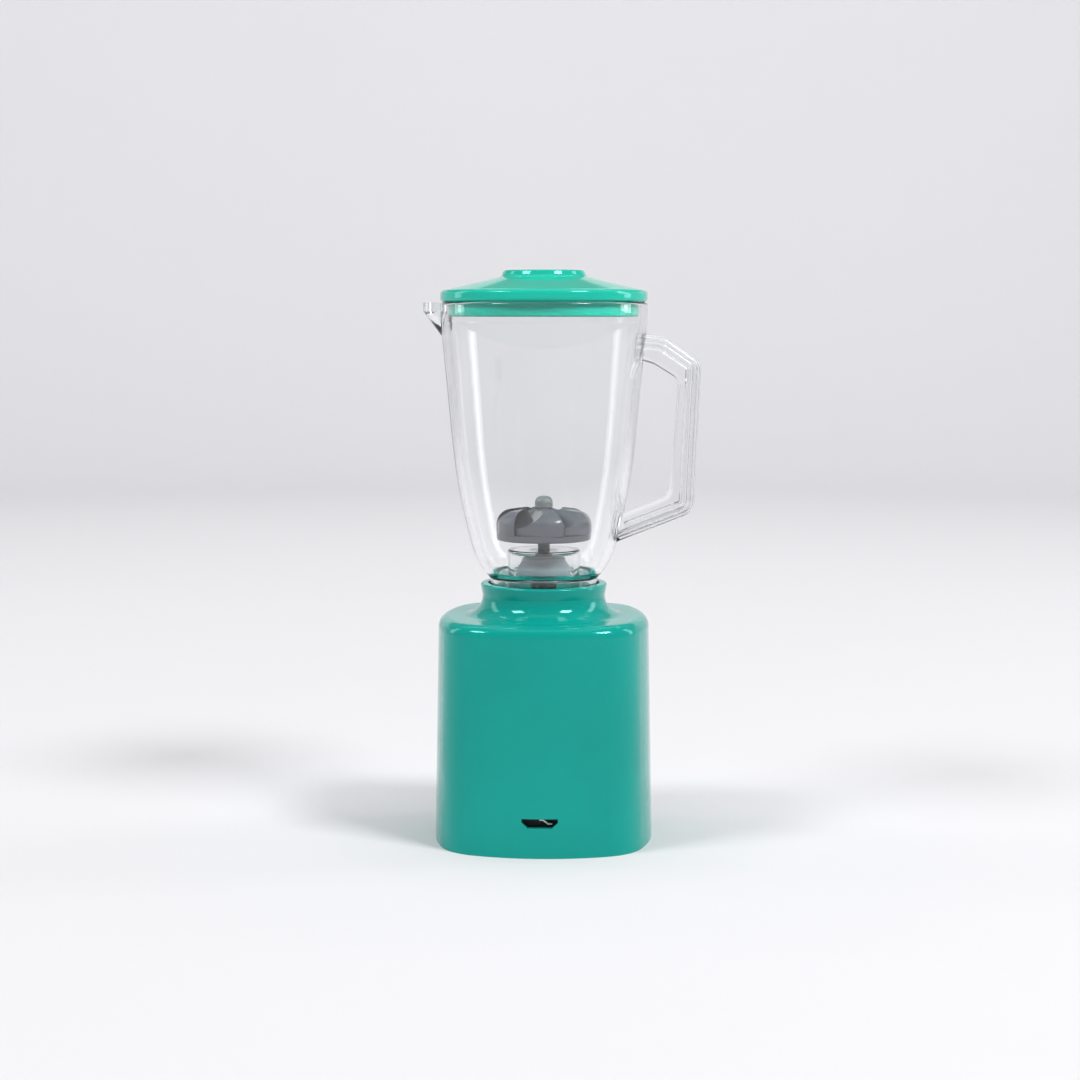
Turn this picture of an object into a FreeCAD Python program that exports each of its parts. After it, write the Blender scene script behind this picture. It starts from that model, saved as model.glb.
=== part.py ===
import FreeCAD, Part
import math
import os

from FreeCAD import Vector

# Toy blender, in millimetres. The origin is the middle of the base's footprint on the floor.
# +Z is up, the three keys face -Y, the handle points to -X and the pouring spout to +X.

# How far a cutter runs past the face it opens, and how far pieces of one moulding run into each other
past = 1.0
overlap = 0.5

# Base housing: a square plan with bulging sides and round corners, drawn in a little towards the top
base_height = 50.3
base_half_width = 24.5
base_top_half_width = 23.55
side_bulge_radius = 45.0
plan_corner_radius = 12.0
housing_wall = 1.8
shoulder_round = 2.5
cavity_round = 1.0

# Neck collar that the jar stands in
collar_height = 7.1
collar_rim_radius = 14.25
collar_waist_radius = 13.75
collar_flare = 4.4
collar_flare_round = 4.3
collar_lip_round = 0.4
socket_floor_rise = 1.7
socket_floor_thickness = 1.6
socket_mouth_radius = 12.55
socket_base_radius = 11.85
drive_hole_radius = 4.2
socket_flank = 1.1

# Rear slot
slot_width = 7.9
slot_height = 2.1
slot_bottom = 6.6
slot_corner_cut = 1.35
slot_straight_side = 0.8
clip_wire_radius = 0.28
clip_depth = 0.5
clip_upper_run = 0.8
clip_lower_run = 0.8
clip_slope_run = 1.1
clip_rise = 0.85
clip_x = -1.2

# Bottom plate and its screws
plate_bottom = 0.6
plate_thickness = 1.6
plate_clearance = 0.15
screw_pad_height = 1.5
screw_pad_radius = 3.1
screw_post_radius = 2.6
post_wall_overlap = 0.3
screw_radius = 1.0
screw_length = 7.5
screw_head_radius = 1.8
screw_head_height = 1.2
screw_sink = 0.2
screw_head_clearance = 0.2
screw_hole_clearance = 0.2
screw_head_round = 0.4
screw_recess_reach = 1.0
screw_recess_width = 0.5
screw_recess_depth = 0.6

# Two AAA cells, each 44.5 mm long, stand side by side in the battery box
cell_diameter = 10.5
cell_clearance = 0.3
box_wall = 1.1
box_divider = 1.0
box_corner_radius = 3.3
box_roof = 1.0
box_front = 7.9
box_flange_reach = 2.2
box_flange_thickness = 1.2
end_clearance = 0.3

# Battery contacts
contact_thickness = 0.3
contact_width = 7.0
contact_dimple_radius = 1.6
contact_dimple_height = 0.5
contact_corner_radius = 1.0
contact_notch_radius = 0.8
contact_tail_radius = 0.6
contact_tail_proud = 0.2
coil_wire_radius = 0.25
coil_base_radius = 2.9
coil_tip_radius = 1.7
coil_turns = 3
coil_height = 2.2

# Battery door and its captive screw
door_thickness = 1.5
door_clearance = 0.2
door_overlap = 0.7
door_tab_half_width = 3.4
door_tab_reach = 3.1
door_tab_corner_radius = 1.0
door_rib_height = 1.2
door_rib_thickness = 0.9
door_cup_radius = 2.7
door_cup_height = 1.3
door_boss_radius = 3.4
door_boss_height = 8.6
door_grip_half_width = 4.0
door_grip_from_edge = 1.4
door_grip_width = 0.8
door_grip_depth = 0.5
running_clearance = 0.05

# Small direct-current motor, standing under the collar
can_radius = 10.05
can_half_depth = 7.55
can_wall = 0.8
can_round = 0.8
can_length = 20.0
end_cap_length = 5.1
end_cap_floor = 1.6
end_cap_boss_height = 1.0
motor_drop = 5.9
motor_boss_radius = 3.1
motor_boss_height = 1.6
bearing_radius = 2.1
shaft_radius = 1.0
shaft_fit = 0.03
armature_radius = 5.9
magnet_gap = 0.5
magnet_overhang = 1.0
magnet_edge_gap = 0.8
armature_start = 3.6
armature_length = 10.5
armature_hub_radius = 2.6
pole_width = 2.2
pole_shoe_thickness = 1.1
pole_shoe_width = 9.2
winding_inner = 2.75
winding_outer = 4.1
winding_half_width = 2.3
winding_overhang = 1.0
winding_corner_radius = 0.6
commutator_radius = 2.2
commutator_start = 2.3
commutator_length = 4.0
commutator_slit_width = 0.3
commutator_slit_depth = 0.5
commutator_sleeve_radius = 1.6
brush_gap = 0.1
brush_width = 2.4
brush_leaf_thickness = 0.3
brush_tag_x = 6.5
brush_tag_thickness = 0.6
brush_tag_reach = 2.2
brush_tag_clearance = 0.1
shaft_tail = 0.8
spigot_radius = 6.5
spigot_gap = 0.1

# Bracket that clamps the motor up against the housing
bracket_thickness = 1.5
bracket_half_depth = 5.0
bracket_gap = 0.2
bracket_ear_corner_radius = 0.8
bracket_web_thickness = 1.2
bracket_web_height = 6.0
bracket_tag_slot_width = 1.6
bracket_tag_slot_depth = 4.0
bracket_post_x = 15.4
bracket_post_radius = 2.4
bracket_screw_length = 6.0
bracket_ear_drop = 1.0

# Drive between the motor and the blade
dog_radius = 2.85
dog_sink = 1.4
dog_tongue = 4.0
dog_arm_width = 1.7
dog_arm_reach = 2.6
drive_play = 0.15
dog_bore_stop = 1.5

# Keys on the front: OFF at -X, on the left for whoever stands in front, then the low and the high speed
key_heights = 5.8
key_wide = 8.2
key_narrow = 6.5
key_spacing = 1.5
key_row_height = 15.0
key_corner_radius = 1.3
key_proud = 1.5
key_edge_round = 0.45
key_clearance = 0.2
key_flange = 0.55
key_flange_thickness = 1.0
key_flange_gap = 0.15
key_travel = 1.0
key_stem_radius = 1.4
key_rear = 15.0
plunger_radius = 1.7
plunger_depth = 1.6
plunger_play = 0.05
plunger_gap = 0.1
plunger_over_travel = 0.3

# Switch board behind the keys
board_front = -12.6
board_thickness = 1.2
board_half_width = 19.4
board_bottom = 8.6
board_top = 21.4
switch_size = 6.0
switch_depth = 3.5
rib_thickness = 1.0
rib_clearance = 0.15
rib_reach = 2.4

# Parts soldered on the back of the board
component_lead_radius = 0.25
resin_drop_radius = 3.2
resin_drop_sink = 2.2
resin_drop_x = -14.5
resistor_radius = 0.85
resistor_length = 3.6
resistor_span = 6.0
resistor_x = -0.8
resistor_stand_off = 1.0
resistor_heights = (11.0, 19.0)
capacitor_radius = 2.0
capacitor_length = 3.2
capacitor_x = 10.6
capacitor_height = 17.6
transistor_radius = 2.2
transistor_length = 3.0
transistor_flat = 1.2
transistor_x = 11.6
transistor_height = 12.0

# Jar: a clear moulding with a conical foot, a curved lower body and a straight tapered wall
jar_wall = 1.7
foot_clearance = 0.1
foot_height = 6.6
foot_base_radius = 11.6
foot_top_radius = 12.0
foot_wall = 1.2
foot_step = 0.1
foot_hollow_round = 0.15
jar_start_radius = 12.2
jar_belly_radius = 16.0
jar_belly_rise = 6.5
jar_shoulder_radius = 20.5
jar_shoulder_rise = 24.1
jar_wall_top_radius = 22.95
jar_wall_rise = 26.1
lip_height = 4.5
lip_radius = 23.1
lip_wall = 1.7
lip_round = 0.6
jar_floor_rise = 6.4
jar_floor_thickness = 1.1
floor_corner_round = 3.0

# Hollow tower in the jar floor that carries the blade shaft
tower_radius = 8.15
tower_height = 6.6
tower_wall = 1.3
tower_roof = 1.0
tower_round = 0.5

# Pouring spout at the rim
spout_reach = 26.8
spout_radius = 4.6
spout_depth = 8.5
spout_lip_height = 2.0
spout_wall = 1.5
spout_toe_radius = 0.5

# Handle loop, moulded on the jar, as corner points (reach from the axis, drop from the rim, corner radius)
handle_outer = (
    (19.0, 6.7, 0.0),
    (26.6, 7.3, 5.0),
    (35.0, 13.1, 3.5),
    (33.5, 46.5, 3.5),
    (15.0, 53.7, 0.0),
)
handle_window = (
    (19.0, 12.0, 0.0),
    (24.4, 13.6, 2.0),
    (29.9, 17.0, 2.4),
    (27.9, 42.5, 2.4),
    (16.0, 47.3, 0.0),
)
handle_thickness = 5.6
handle_edge_round = 1.1
handle_groove_radius = 0.55
handle_groove_depth = 0.4
handle_groove_insets = (1.3, 2.8)

# Lid, pushed into the jar's mouth
lid_seat_gap = 0.05
lid_radius = 23.0
lid_rim_height = 2.55
lid_rim_round = 0.9
lid_dome_start_radius = 21.6
lid_dome_rise = 3.1
lid_dome_start_rise = 0.25
lid_dome_start_round = 2.0
lid_dome_end_round = 1.0
lid_button_radius = 8.9
lid_button_height = 1.4
lid_button_dish = 0.35
lid_button_round = 0.5
lid_button_foot = 0.6
lid_button_land = 1.2
lid_button_dish_slope = 0.7
lid_button_dish_round = 0.4
lid_wall = 1.4
plug_clearance = 0.2
plug_depth = 3.2
plug_wall = 1.3
plug_round = 0.4
lid_hollow_round = 0.5

# Blade unit: a dome with six lobes; each lobe's crest stands over a channel that runs out from the crown
blade_shaft_radius = 0.75
blade_radius = 10.75
blade_gap = 2.2
skirt_radius = 10.6
skirt_height = 1.5
skirt_edge_round = 0.3
blade_shoulder_rise = 6.2
blade_shoulder_round = 3.4
blade_crown_radius = 3.4
blade_crown_rise = 7.2
blade_lobes = 6
lobe_step = 0.45
lobe_angle = 25.5
channel_rim_rise = 2.9
channel_crown_drop = 0.25
channel_flat_width = 1.9
channel_flat_rise = 0.3
channel_ramp_slope = 0.62
channel_root_round = 0.5
channel_bend_round = 3.0
hollow_wall = 1.2
hollow_rise = 1.7
hollow_hub_radius = 2.6
hollow_round = 0.4
cap_radius = 2.0
cap_height = 2.5
cap_round = 1.5
bush_radius = 1.35
bush_flange_radius = 2.6
bush_flange_thickness = 0.3
bush_drop = 0.3
seal_radius = 3.2
seal_thickness = 0.3
washer_radius = 2.4
washer_thickness = 0.2
hub_top_radius = 4.7
hub_waist_radius = 4.9
hub_skirt_radius = 6.1
hub_gap = 0.1
hub_waist_drop = 1.0
hub_flare_drop = 2.5
hub_round = 0.8
hub_edge_round = 0.3
stack_gap = 0.03
cap_bore_depth = 1.5

# Leads from the cells to the board and on to the motor
lead_radius = 0.55
cell_lead_bend = 1.4
cell_lead_from_box = 1.2
cell_lead_from_side = 2.3
cell_lead_tail = 1.6
cell_lead_turn_height = 30.0
cell_lead_board_height = 24.0
cell_lead_end_height = 17.0
motor_lead_bend = 1.2
motor_lead_start_y = -2.0
motor_lead_drop = 2.6
motor_lead_reach = 8.0
motor_lead_end_height = 11.5

# Places that follow from the sizes above
plate_top = plate_bottom + plate_thickness
post_bottom = plate_top + screw_pad_height
cavity_top = base_height - housing_wall
collar_top = base_height + collar_height
socket_floor = base_height + socket_floor_rise
motor_top = base_height - motor_drop
can_bottom = motor_top - can_length
motor_bottom = can_bottom - end_cap_length
armature_bottom = can_bottom + armature_start
armature_top = armature_bottom + armature_length
commutator_bottom = motor_bottom + commutator_start
commutator_top = commutator_bottom + commutator_length
bracket_ear_top = motor_top - bracket_ear_drop
bay_width = cell_diameter + cell_clearance
box_half_width = bay_width + box_divider / 2
box_rear = box_front + 2 * box_wall + bay_width
bay_middle_x = (bay_width + box_divider) / 2
bay_middle_y = (box_front + box_rear) / 2
door_screw_y = box_front - door_boss_radius - end_clearance
door_tab_front = door_screw_y - door_tab_reach
roof_bottom = cavity_top - end_clearance - box_roof
foot_bottom = socket_floor + foot_clearance
jar_start_height = foot_bottom + foot_height
jar_belly_height = jar_start_height + jar_belly_rise
jar_shoulder_height = jar_belly_height + jar_shoulder_rise
jar_wall_top_height = jar_shoulder_height + jar_wall_rise
jar_top = jar_wall_top_height + lip_height
jar_floor_bottom = foot_bottom + jar_floor_rise
tower_top = jar_floor_bottom + tower_height
lip_inner_radius = lip_radius - lip_wall
lid_bottom = jar_top + lid_seat_gap
lid_rim_top = lid_bottom + lid_rim_height
tower_under = tower_top - tower_roof
bush_flange_top = tower_under - seal_thickness
bush_flange_bottom = bush_flange_top - bush_flange_thickness
washer_top = bush_flange_bottom - stack_gap
hub_top = washer_top - washer_thickness - stack_gap
hub_bottom = jar_floor_bottom + hub_gap
blade_bottom = tower_top + blade_gap
skirt_top = blade_bottom + skirt_height
blade_shoulder_height = blade_bottom + blade_shoulder_rise
blade_crown_height = blade_bottom + blade_crown_rise
channel_rim_floor = blade_bottom + channel_rim_rise
channel_crown_floor = blade_crown_height - channel_crown_drop
hollow_roof = blade_bottom + hollow_rise
cap_top = blade_crown_height + cap_height
bush_top = blade_bottom - bush_drop
dog_bottom = socket_floor - dog_sink
dog_shoulder = collar_top
dog_tip = dog_shoulder + dog_tongue
board_rear = board_front + board_thickness
switch_face = board_front - switch_depth
plunger_tip = switch_face - key_travel - plunger_over_travel
contact_tail_top = roof_bottom + box_roof + contact_tail_proud
end_cap_floor_top = motor_bottom + end_cap_floor
motor_shaft_top = dog_shoulder - dog_bore_stop

os.makedirs("parts", exist_ok=True)


def export(name, shape):
    """Writes one sub-part, or one group of like solids, to its own file."""
    shape.exportStep("parts/" + name + ".step")


def post(radius, bottom, top, x=0.0, y=0.0):
    """Upright round bar."""
    return Part.makeCylinder(radius, top - bottom, Vector(x, y, bottom))


def tube(outer, inner, bottom, top, x=0.0, y=0.0):
    """Upright round tube."""
    return post(outer, bottom, top, x, y).cut(post(inner, bottom, top, x, y))


def bar_along_y(radius, rear, front, x, z):
    """Round bar that runs towards -Y, from rear to front."""
    return Part.makeCylinder(radius, rear - front, Vector(x, rear, z), Vector(0, -1, 0))


def block(x0, x1, y0, y1, z0, z1):
    """Square-edged block between two corners, given in any order."""
    corner = Vector(min(x0, x1), min(y0, y1), min(z0, z1))
    return Part.makeBox(abs(x1 - x0), abs(y1 - y0), abs(z1 - z0), corner)


def joined(first, others):
    """One solid out of pieces that overlap."""
    return first.fuse(list(others)).removeSplitter()


def rounded_outline(corners, to_point):
    """Closed wire through corners (u, v, radius), with an arc at each corner that has a radius."""
    edges = []
    ends = []
    count = len(corners)
    for i, (u, v, radius) in enumerate(corners):
        here = Vector(u, v, 0)
        back = Vector(corners[i - 1][0], corners[i - 1][1], 0).sub(here)
        ahead = Vector(corners[(i + 1) % count][0], corners[(i + 1) % count][1], 0).sub(here)
        back.normalize()
        ahead.normalize()
        if radius <= 0:
            ends.append((here, here, here))
            continue
        half_angle = back.getAngle(ahead) / 2
        setback = radius / math.tan(half_angle)
        bisector = back.add(ahead)
        bisector.normalize()
        centre = here.add(bisector.multiply(radius / math.sin(half_angle)))
        towards = here.sub(centre)
        towards.normalize()
        middle = centre.add(towards.multiply(radius))
        start = here.add(Vector(back).multiply(setback))
        stop = here.add(Vector(ahead).multiply(setback))
        ends.append((start, middle, stop))
    for i, (start, middle, stop) in enumerate(ends):
        if start.distanceToPoint(stop) > 1e-6:
            places = [to_point(p.x, p.y) for p in (start, middle, stop)]
            edges.append(Part.Arc(*places).toShape())
        after = ends[(i + 1) % count][0]
        if stop.distanceToPoint(after) > 1e-6:
            edges.append(Part.LineSegment(to_point(stop.x, stop.y), to_point(after.x, after.y)).toShape())
    return Part.Wire(edges)


def turned(corners):
    """Solid of revolution about the upright axis, from corners (radius, height, corner radius)."""
    wire = rounded_outline(corners, lambda r, z: Vector(r, 0, z))
    return Part.Face(wire).revolve(Vector(0, 0, 0), Vector(0, 0, 1), 360)


def upright_prism(corners, bottom, top):
    """Prism that stands on a rounded outline in the floor plane."""
    wire = rounded_outline(corners, lambda x, y: Vector(x, y, bottom))
    return Part.Face(wire).extrude(Vector(0, 0, top - bottom))


def rounded_box(x0, x1, y0, y1, bottom, top, radius):
    """Upright block with round corners in plan."""
    corners = ((x0, y0, radius), (x1, y0, radius), (x1, y1, radius), (x0, y1, radius))
    return upright_prism(corners, bottom, top)


def mirrored(shape, across=Vector(1, 0, 0)):
    """The same shape on the other side of the middle plane."""
    return shape.mirror(Vector(0, 0, 0), across)


def base_half_width_at(z):
    """Half width of the base at a height: the sides lean in by a constant draft."""
    return base_half_width + (base_top_half_width - base_half_width) * z / base_height


def plan_corner_centre(half_width):
    """Distance of a plan corner's arc centre from both middle planes."""
    offset = side_bulge_radius - half_width
    reach = side_bulge_radius - plan_corner_radius
    return (math.sqrt(2 * reach ** 2 - offset ** 2) - offset) / 2


def base_plan(inset, z):
    """Plan outline of the base at height z: four bulging sides and four corner arcs, all tangent."""
    half_width = base_half_width_at(z)
    offset = side_bulge_radius - half_width
    corner = plan_corner_centre(half_width)
    side = side_bulge_radius - inset
    arc = plan_corner_radius - inset
    along = math.atan2(corner, corner + offset)
    tangent = (side * math.sin(along), side * math.cos(along) - offset)
    edges = []
    for quarter in range(4):
        turn = math.radians(90 * quarter)

        def placed(x, y):
            return Vector(
                x * math.cos(turn) - y * math.sin(turn),
                x * math.sin(turn) + y * math.cos(turn),
                z,
            )

        diagonal = corner + arc / math.sqrt(2)
        side_start = placed(tangent[0], tangent[1])
        side_stop = placed(-tangent[0], tangent[1])
        corner_stop = placed(-tangent[1], tangent[0])
        edges.append(Part.Arc(side_start, placed(0, half_width - inset), side_stop).toShape())
        edges.append(Part.Arc(side_stop, placed(-diagonal, diagonal), corner_stop).toShape())
    return Part.Wire(edges)


def base_form(inset, bottom, top):
    """The base's outer form between two heights, set in from its surface by an inset."""
    return Part.makeLoft([base_plan(inset, bottom), base_plan(inset, top)], True, True)


def edges_at_height(shape, z, reach=0.01):
    """Edges that lie in one level plane."""
    found = []
    for edge in shape.Edges:
        box = edge.BoundBox
        if abs(box.ZMin - z) < reach and abs(box.ZMax - z) < reach:
            found.append(edge)
    return found


def screw_post_place():
    """Distance of the corner screw posts from both middle planes: each one grows out of a plan corner."""
    corner = plan_corner_centre(base_top_half_width) * math.sqrt(2)
    inside = corner + plan_corner_radius - housing_wall
    return (inside - screw_post_radius + post_wall_overlap) / math.sqrt(2)


def corner_places():
    """The four screw places, as (x, y)."""
    place = screw_post_place()
    return [(sx * place, sy * place) for sx in (-1, 1) for sy in (-1, 1)]


def key_columns():
    """The three keys as (name, middle x, width), from the OFF key at -X to the high-speed key at +X."""
    row = key_wide + 2 * key_narrow + 2 * key_spacing
    columns = []
    left = -row / 2
    for name, width in (("off", key_wide), ("low", key_narrow), ("high", key_narrow)):
        columns.append((name, left + width / 2, width))
        left += width + key_spacing
    return columns


def key_prism(middle_x, width, grow, rear, front):
    """Prism with a key's rounded outline, grown by a margin, that runs towards -Y from rear to front."""
    half = width / 2 + grow
    low = key_row_height - key_heights / 2 - grow
    high = key_row_height + key_heights / 2 + grow
    radius = key_corner_radius + grow
    corners = (
        (middle_x - half, low, radius),
        (middle_x + half, low, radius),
        (middle_x + half, high, radius),
        (middle_x - half, high, radius),
    )
    wire = rounded_outline(corners, lambda x, z: Vector(x, rear, z))
    return Part.Face(wire).extrude(Vector(0, front - rear, 0))


def front_cylinder(inset):
    """Upright cylinder that follows the bulging front at the keys' height, set in by an inset."""
    radius = side_bulge_radius - inset
    centre = side_bulge_radius - base_half_width_at(key_row_height)
    return post(radius, 0, 2 * key_row_height, 0, centre)


def slot_prism():
    """The rear slot: straight upper sides and cut-off lower corners, seen from behind."""
    half = slot_width / 2
    top = slot_bottom + slot_height
    corners = (
        (-half, top, 0),
        (half, top, 0),
        (half, top - slot_straight_side, 0),
        (half - slot_corner_cut, slot_bottom, 0),
        (slot_corner_cut - half, slot_bottom, 0),
        (-half, top - slot_straight_side, 0),
    )
    inner = base_half_width - 3 * housing_wall
    wire = rounded_outline(corners, lambda x, z: Vector(x, inner, z))
    return Part.Face(wire).extrude(Vector(0, 5 * housing_wall, 0))


def make_housing_shell():
    """Base moulding: walls, shoulder, neck collar, screw posts, motor spigot and board ribs."""
    body = base_form(0, 0, base_height)
    body = body.makeFillet(shoulder_round, edges_at_height(body, base_height))
    collar = turned((
        (0, base_height - housing_wall / 2, 0),
        (collar_waist_radius + collar_flare, base_height - housing_wall / 2, 0),
        (collar_waist_radius + collar_flare, base_height, 0),
        (collar_waist_radius, base_height, collar_flare_round),
        (collar_waist_radius, base_height + collar_flare, 0),
        (collar_rim_radius, collar_top, collar_lip_round),
        (0, collar_top, 0),
    ))
    cavity = base_form(housing_wall, -housing_wall, cavity_top)
    cavity = cavity.makeFillet(cavity_round, edges_at_height(cavity, cavity_top))
    body = joined(body, [collar]).cut(cavity)

    inside = base_form(housing_wall / 2, plate_bottom, base_height - housing_wall / 2)
    posts = [post(screw_post_radius, post_bottom, cavity_top + overlap, x, y) for x, y in corner_places()]
    for side in (-1, 1):
        place_x = side * bracket_post_x
        posts.append(post(bracket_post_radius, bracket_ear_top, cavity_top + overlap, place_x))
        for front in (board_front - rib_clearance - rib_thickness, board_rear + rib_clearance):
            rib = block(
                board_half_width - rib_reach,
                base_half_width,
                front,
                front + rib_thickness,
                board_bottom,
                board_top,
            )
            posts.append(rib if side > 0 else mirrored(rib))
    body = joined(body, [p.common(inside) for p in posts])

    socket = turned((
        (0, socket_floor, 0),
        (socket_base_radius, socket_floor, 0),
        (socket_mouth_radius, collar_top, 0),
        (socket_mouth_radius, collar_top + past, 0),
        (0, collar_top + past, 0),
    ))
    hollow = tube(
        socket_base_radius - socket_flank,
        spigot_radius,
        cavity_top - overlap,
        socket_floor - socket_floor_thickness,
    )
    spigot = post(spigot_radius, motor_top + spigot_gap, socket_floor)
    body = joined(body.cut(hollow), [spigot]).cut(socket)
    body = body.cut(post(drive_hole_radius, motor_top, collar_top))

    for x, y in corner_places():
        tip = plate_bottom + screw_sink + screw_length + end_clearance
        body = body.cut(post(screw_radius, 0, tip, x, y))
    for side in (-1, 1):
        tip = bracket_ear_top - bracket_thickness + bracket_screw_length
        body = body.cut(post(screw_radius, bracket_ear_top - past, tip, side * bracket_post_x))
    for _, x, width in key_columns():
        body = body.cut(key_prism(x, width, key_clearance, -key_rear, -2 * base_half_width))
    return body.cut(slot_prism())


def box_outline(grow, bottom, top):
    """Plan of the battery box's well, grown by a margin, as a prism."""
    return rounded_box(
        -box_half_width - grow,
        box_half_width + grow,
        box_front + box_wall - grow,
        box_rear - box_wall + grow,
        bottom,
        top,
        box_corner_radius + grow,
    )


def door_tab(grow, bottom, top):
    """Tongue of the battery door that carries its screw, grown by a margin."""
    return rounded_box(
        -door_tab_half_width - grow,
        door_tab_half_width + grow,
        door_tab_front - grow,
        box_front + 3 * box_wall,
        bottom,
        top,
        door_tab_corner_radius + grow,
    )


def door_outline(grow, bottom, top):
    """Plan of the battery door, grown by a margin."""
    cover = box_outline(door_overlap + grow, bottom, top)
    return joined(cover, [door_tab(grow, bottom, top)])


def make_bottom_plate():
    """Plate that closes the base, with a door opening, screw pads and the door's screw boss."""
    plate = base_form(housing_wall + plate_clearance, plate_bottom, plate_top)
    pads = [post(screw_pad_radius, plate_bottom, post_bottom, x, y) for x, y in corner_places()]
    reach = base_form(housing_wall + plate_clearance, plate_bottom, post_bottom)
    pads = [p.common(reach) for p in pads]
    boss = post(door_boss_radius, plate_bottom, door_boss_height, 0, door_screw_y)
    bridge = block(
        -door_tab_half_width - box_wall,
        door_tab_half_width + box_wall,
        door_tab_front - box_wall,
        box_front - box_flange_reach - door_clearance,
        plate_top - overlap,
        plate_top + box_flange_thickness,
    )
    plate = joined(plate, pads + [boss, bridge])
    plate = plate.cut(box_outline(door_overlap + door_clearance, 0, plate_top))
    plate = plate.cut(door_tab(door_clearance, 0, plate_bottom + door_thickness + door_clearance / 2))
    cup_top = plate_bottom + door_thickness + door_cup_height + door_clearance
    plate = plate.cut(post(door_cup_radius + door_clearance, 0, cup_top, 0, door_screw_y))
    plate = plate.cut(post(screw_radius + running_clearance, 0, door_boss_height + past, 0, door_screw_y))
    for x, y in corner_places():
        plate = plate.cut(post(screw_radius + screw_hole_clearance, 0, post_bottom + past, x, y))
        head = post(
            screw_head_radius + screw_head_clearance,
            0,
            plate_bottom + screw_sink + screw_head_height,
            x,
            y,
        )
        plate = plate.cut(head)
    return plate


def screw(x, y, head_bottom, length):
    """Pan-head screw that points up, with a cross recess in its head."""
    head = post(screw_head_radius, head_bottom, head_bottom + screw_head_height, x, y)
    head = head.makeFillet(screw_head_round, edges_at_height(head, head_bottom))
    shank = post(screw_radius, head_bottom + screw_head_height, head_bottom + length, x, y)
    body = joined(head, [shank])
    reach = screw_recess_reach
    half = screw_recess_width / 2
    recess_top = head_bottom + screw_recess_depth
    for long_x, long_y in ((reach, half), (half, reach)):
        slot = block(x - long_x, x + long_x, y - long_y, y + long_y, head_bottom - past, recess_top)
        body = body.cut(slot)
    return body


def make_bottom_screws():
    """Four screws from below into the corner posts."""
    head = plate_bottom + screw_sink
    return Part.makeCompound([screw(x, y, head, screw_length) for x, y in corner_places()])


def make_battery_box():
    """Black moulding with two upright bays, open at the bottom, that stands on the bottom plate."""
    body = box_outline(box_wall, plate_top, roof_bottom + box_roof)
    body = body.makeFillet(box_wall, edges_at_height(body, roof_bottom + box_roof))
    flange = box_outline(box_wall + box_flange_reach, plate_top, plate_top + box_flange_thickness)
    inside = base_form(housing_wall + plate_clearance, plate_top, plate_top + box_flange_thickness)
    body = joined(body, [flange.common(inside)])
    well = box_outline(0, 0, roof_bottom)
    divider = block(
        -box_divider / 2,
        box_divider / 2,
        box_front + box_wall - overlap,
        box_rear - box_wall + overlap,
        plate_top + door_rib_height + door_clearance,
        roof_bottom,
    )
    body = joined(body.cut(well), [divider])
    for x, y in corner_places():
        clear = post(screw_post_radius + end_clearance, 0, base_height, x, y)
        body = body.cut(clear)
        body = body.cut(post(screw_pad_radius + end_clearance, 0, post_bottom + end_clearance, x, y))
    body = body.cut(post(door_boss_radius + end_clearance, 0, base_height, 0, door_screw_y))
    for side in (-1, 1):
        x = side * bay_middle_x
        body = body.cut(post(contact_notch_radius, roof_bottom - past, cavity_top, x, bay_middle_y))
    return body


def helix_point(turn, bottom, height, turns, start_radius, end_radius, x, y, side=1):
    """Point on a conical coil after a number of turns."""
    share = turn / turns
    radius = start_radius + (end_radius - start_radius) * share
    angle = side * 2 * math.pi * turn
    return Vector(x + radius * math.cos(angle), y + radius * math.sin(angle), bottom + height * share)


def coil(bottom, height, start_radius, end_radius, x, y):
    """Conical compression spring: one round wire along quarter-turn arcs."""
    def at(turn):
        return helix_point(turn, bottom, height, coil_turns, start_radius, end_radius, x, y)

    edges = []
    for quarter in range(4 * coil_turns):
        edges.append(Part.Arc(at(quarter / 4), at(quarter / 4 + 0.125), at(quarter / 4 + 0.25)).toShape())
    path = Part.Wire(edges)
    heading = edges[0].tangentAt(edges[0].FirstParameter)
    ring = Part.Wire(Part.makeCircle(coil_wire_radius, at(0), heading))
    return path.makePipeShell([ring], True, False)


def contact_sheet(x, z, half_length, half_width):
    """Flat nickel contact, centred on a bay."""
    return rounded_box(
        x - half_length,
        x + half_length,
        bay_middle_y - half_width,
        bay_middle_y + half_width,
        z,
        z + contact_thickness,
        contact_corner_radius,
    )


def make_contact_plate():
    """Plus contact under the box roof of the +X bay, with a pressed dimple and a solder tail."""
    bottom = roof_bottom - contact_thickness
    sheet = contact_sheet(bay_middle_x, bottom, contact_width / 2, contact_width / 2)
    dimple = Part.makeCone(
        contact_dimple_radius / 2,
        contact_dimple_radius,
        contact_dimple_height,
        Vector(bay_middle_x, bay_middle_y, bottom - contact_dimple_height),
    )
    tail = post(contact_tail_radius, bottom, contact_tail_top, bay_middle_x, bay_middle_y)
    return joined(sheet, [dimple, tail])


def make_contact_spring():
    """Minus contact under the box roof of the -X bay: a sheet with a conical coil below it."""
    bottom = roof_bottom - contact_thickness
    sheet = contact_sheet(-bay_middle_x, bottom, contact_width / 2, contact_width / 2)
    tail = post(contact_tail_radius, bottom, contact_tail_top, -bay_middle_x, bay_middle_y)
    spring = coil(
        bottom - coil_wire_radius / 2,
        -coil_height,
        coil_base_radius,
        coil_tip_radius,
        -bay_middle_x,
        bay_middle_y,
    )
    return joined(sheet, [tail, spring])


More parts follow.
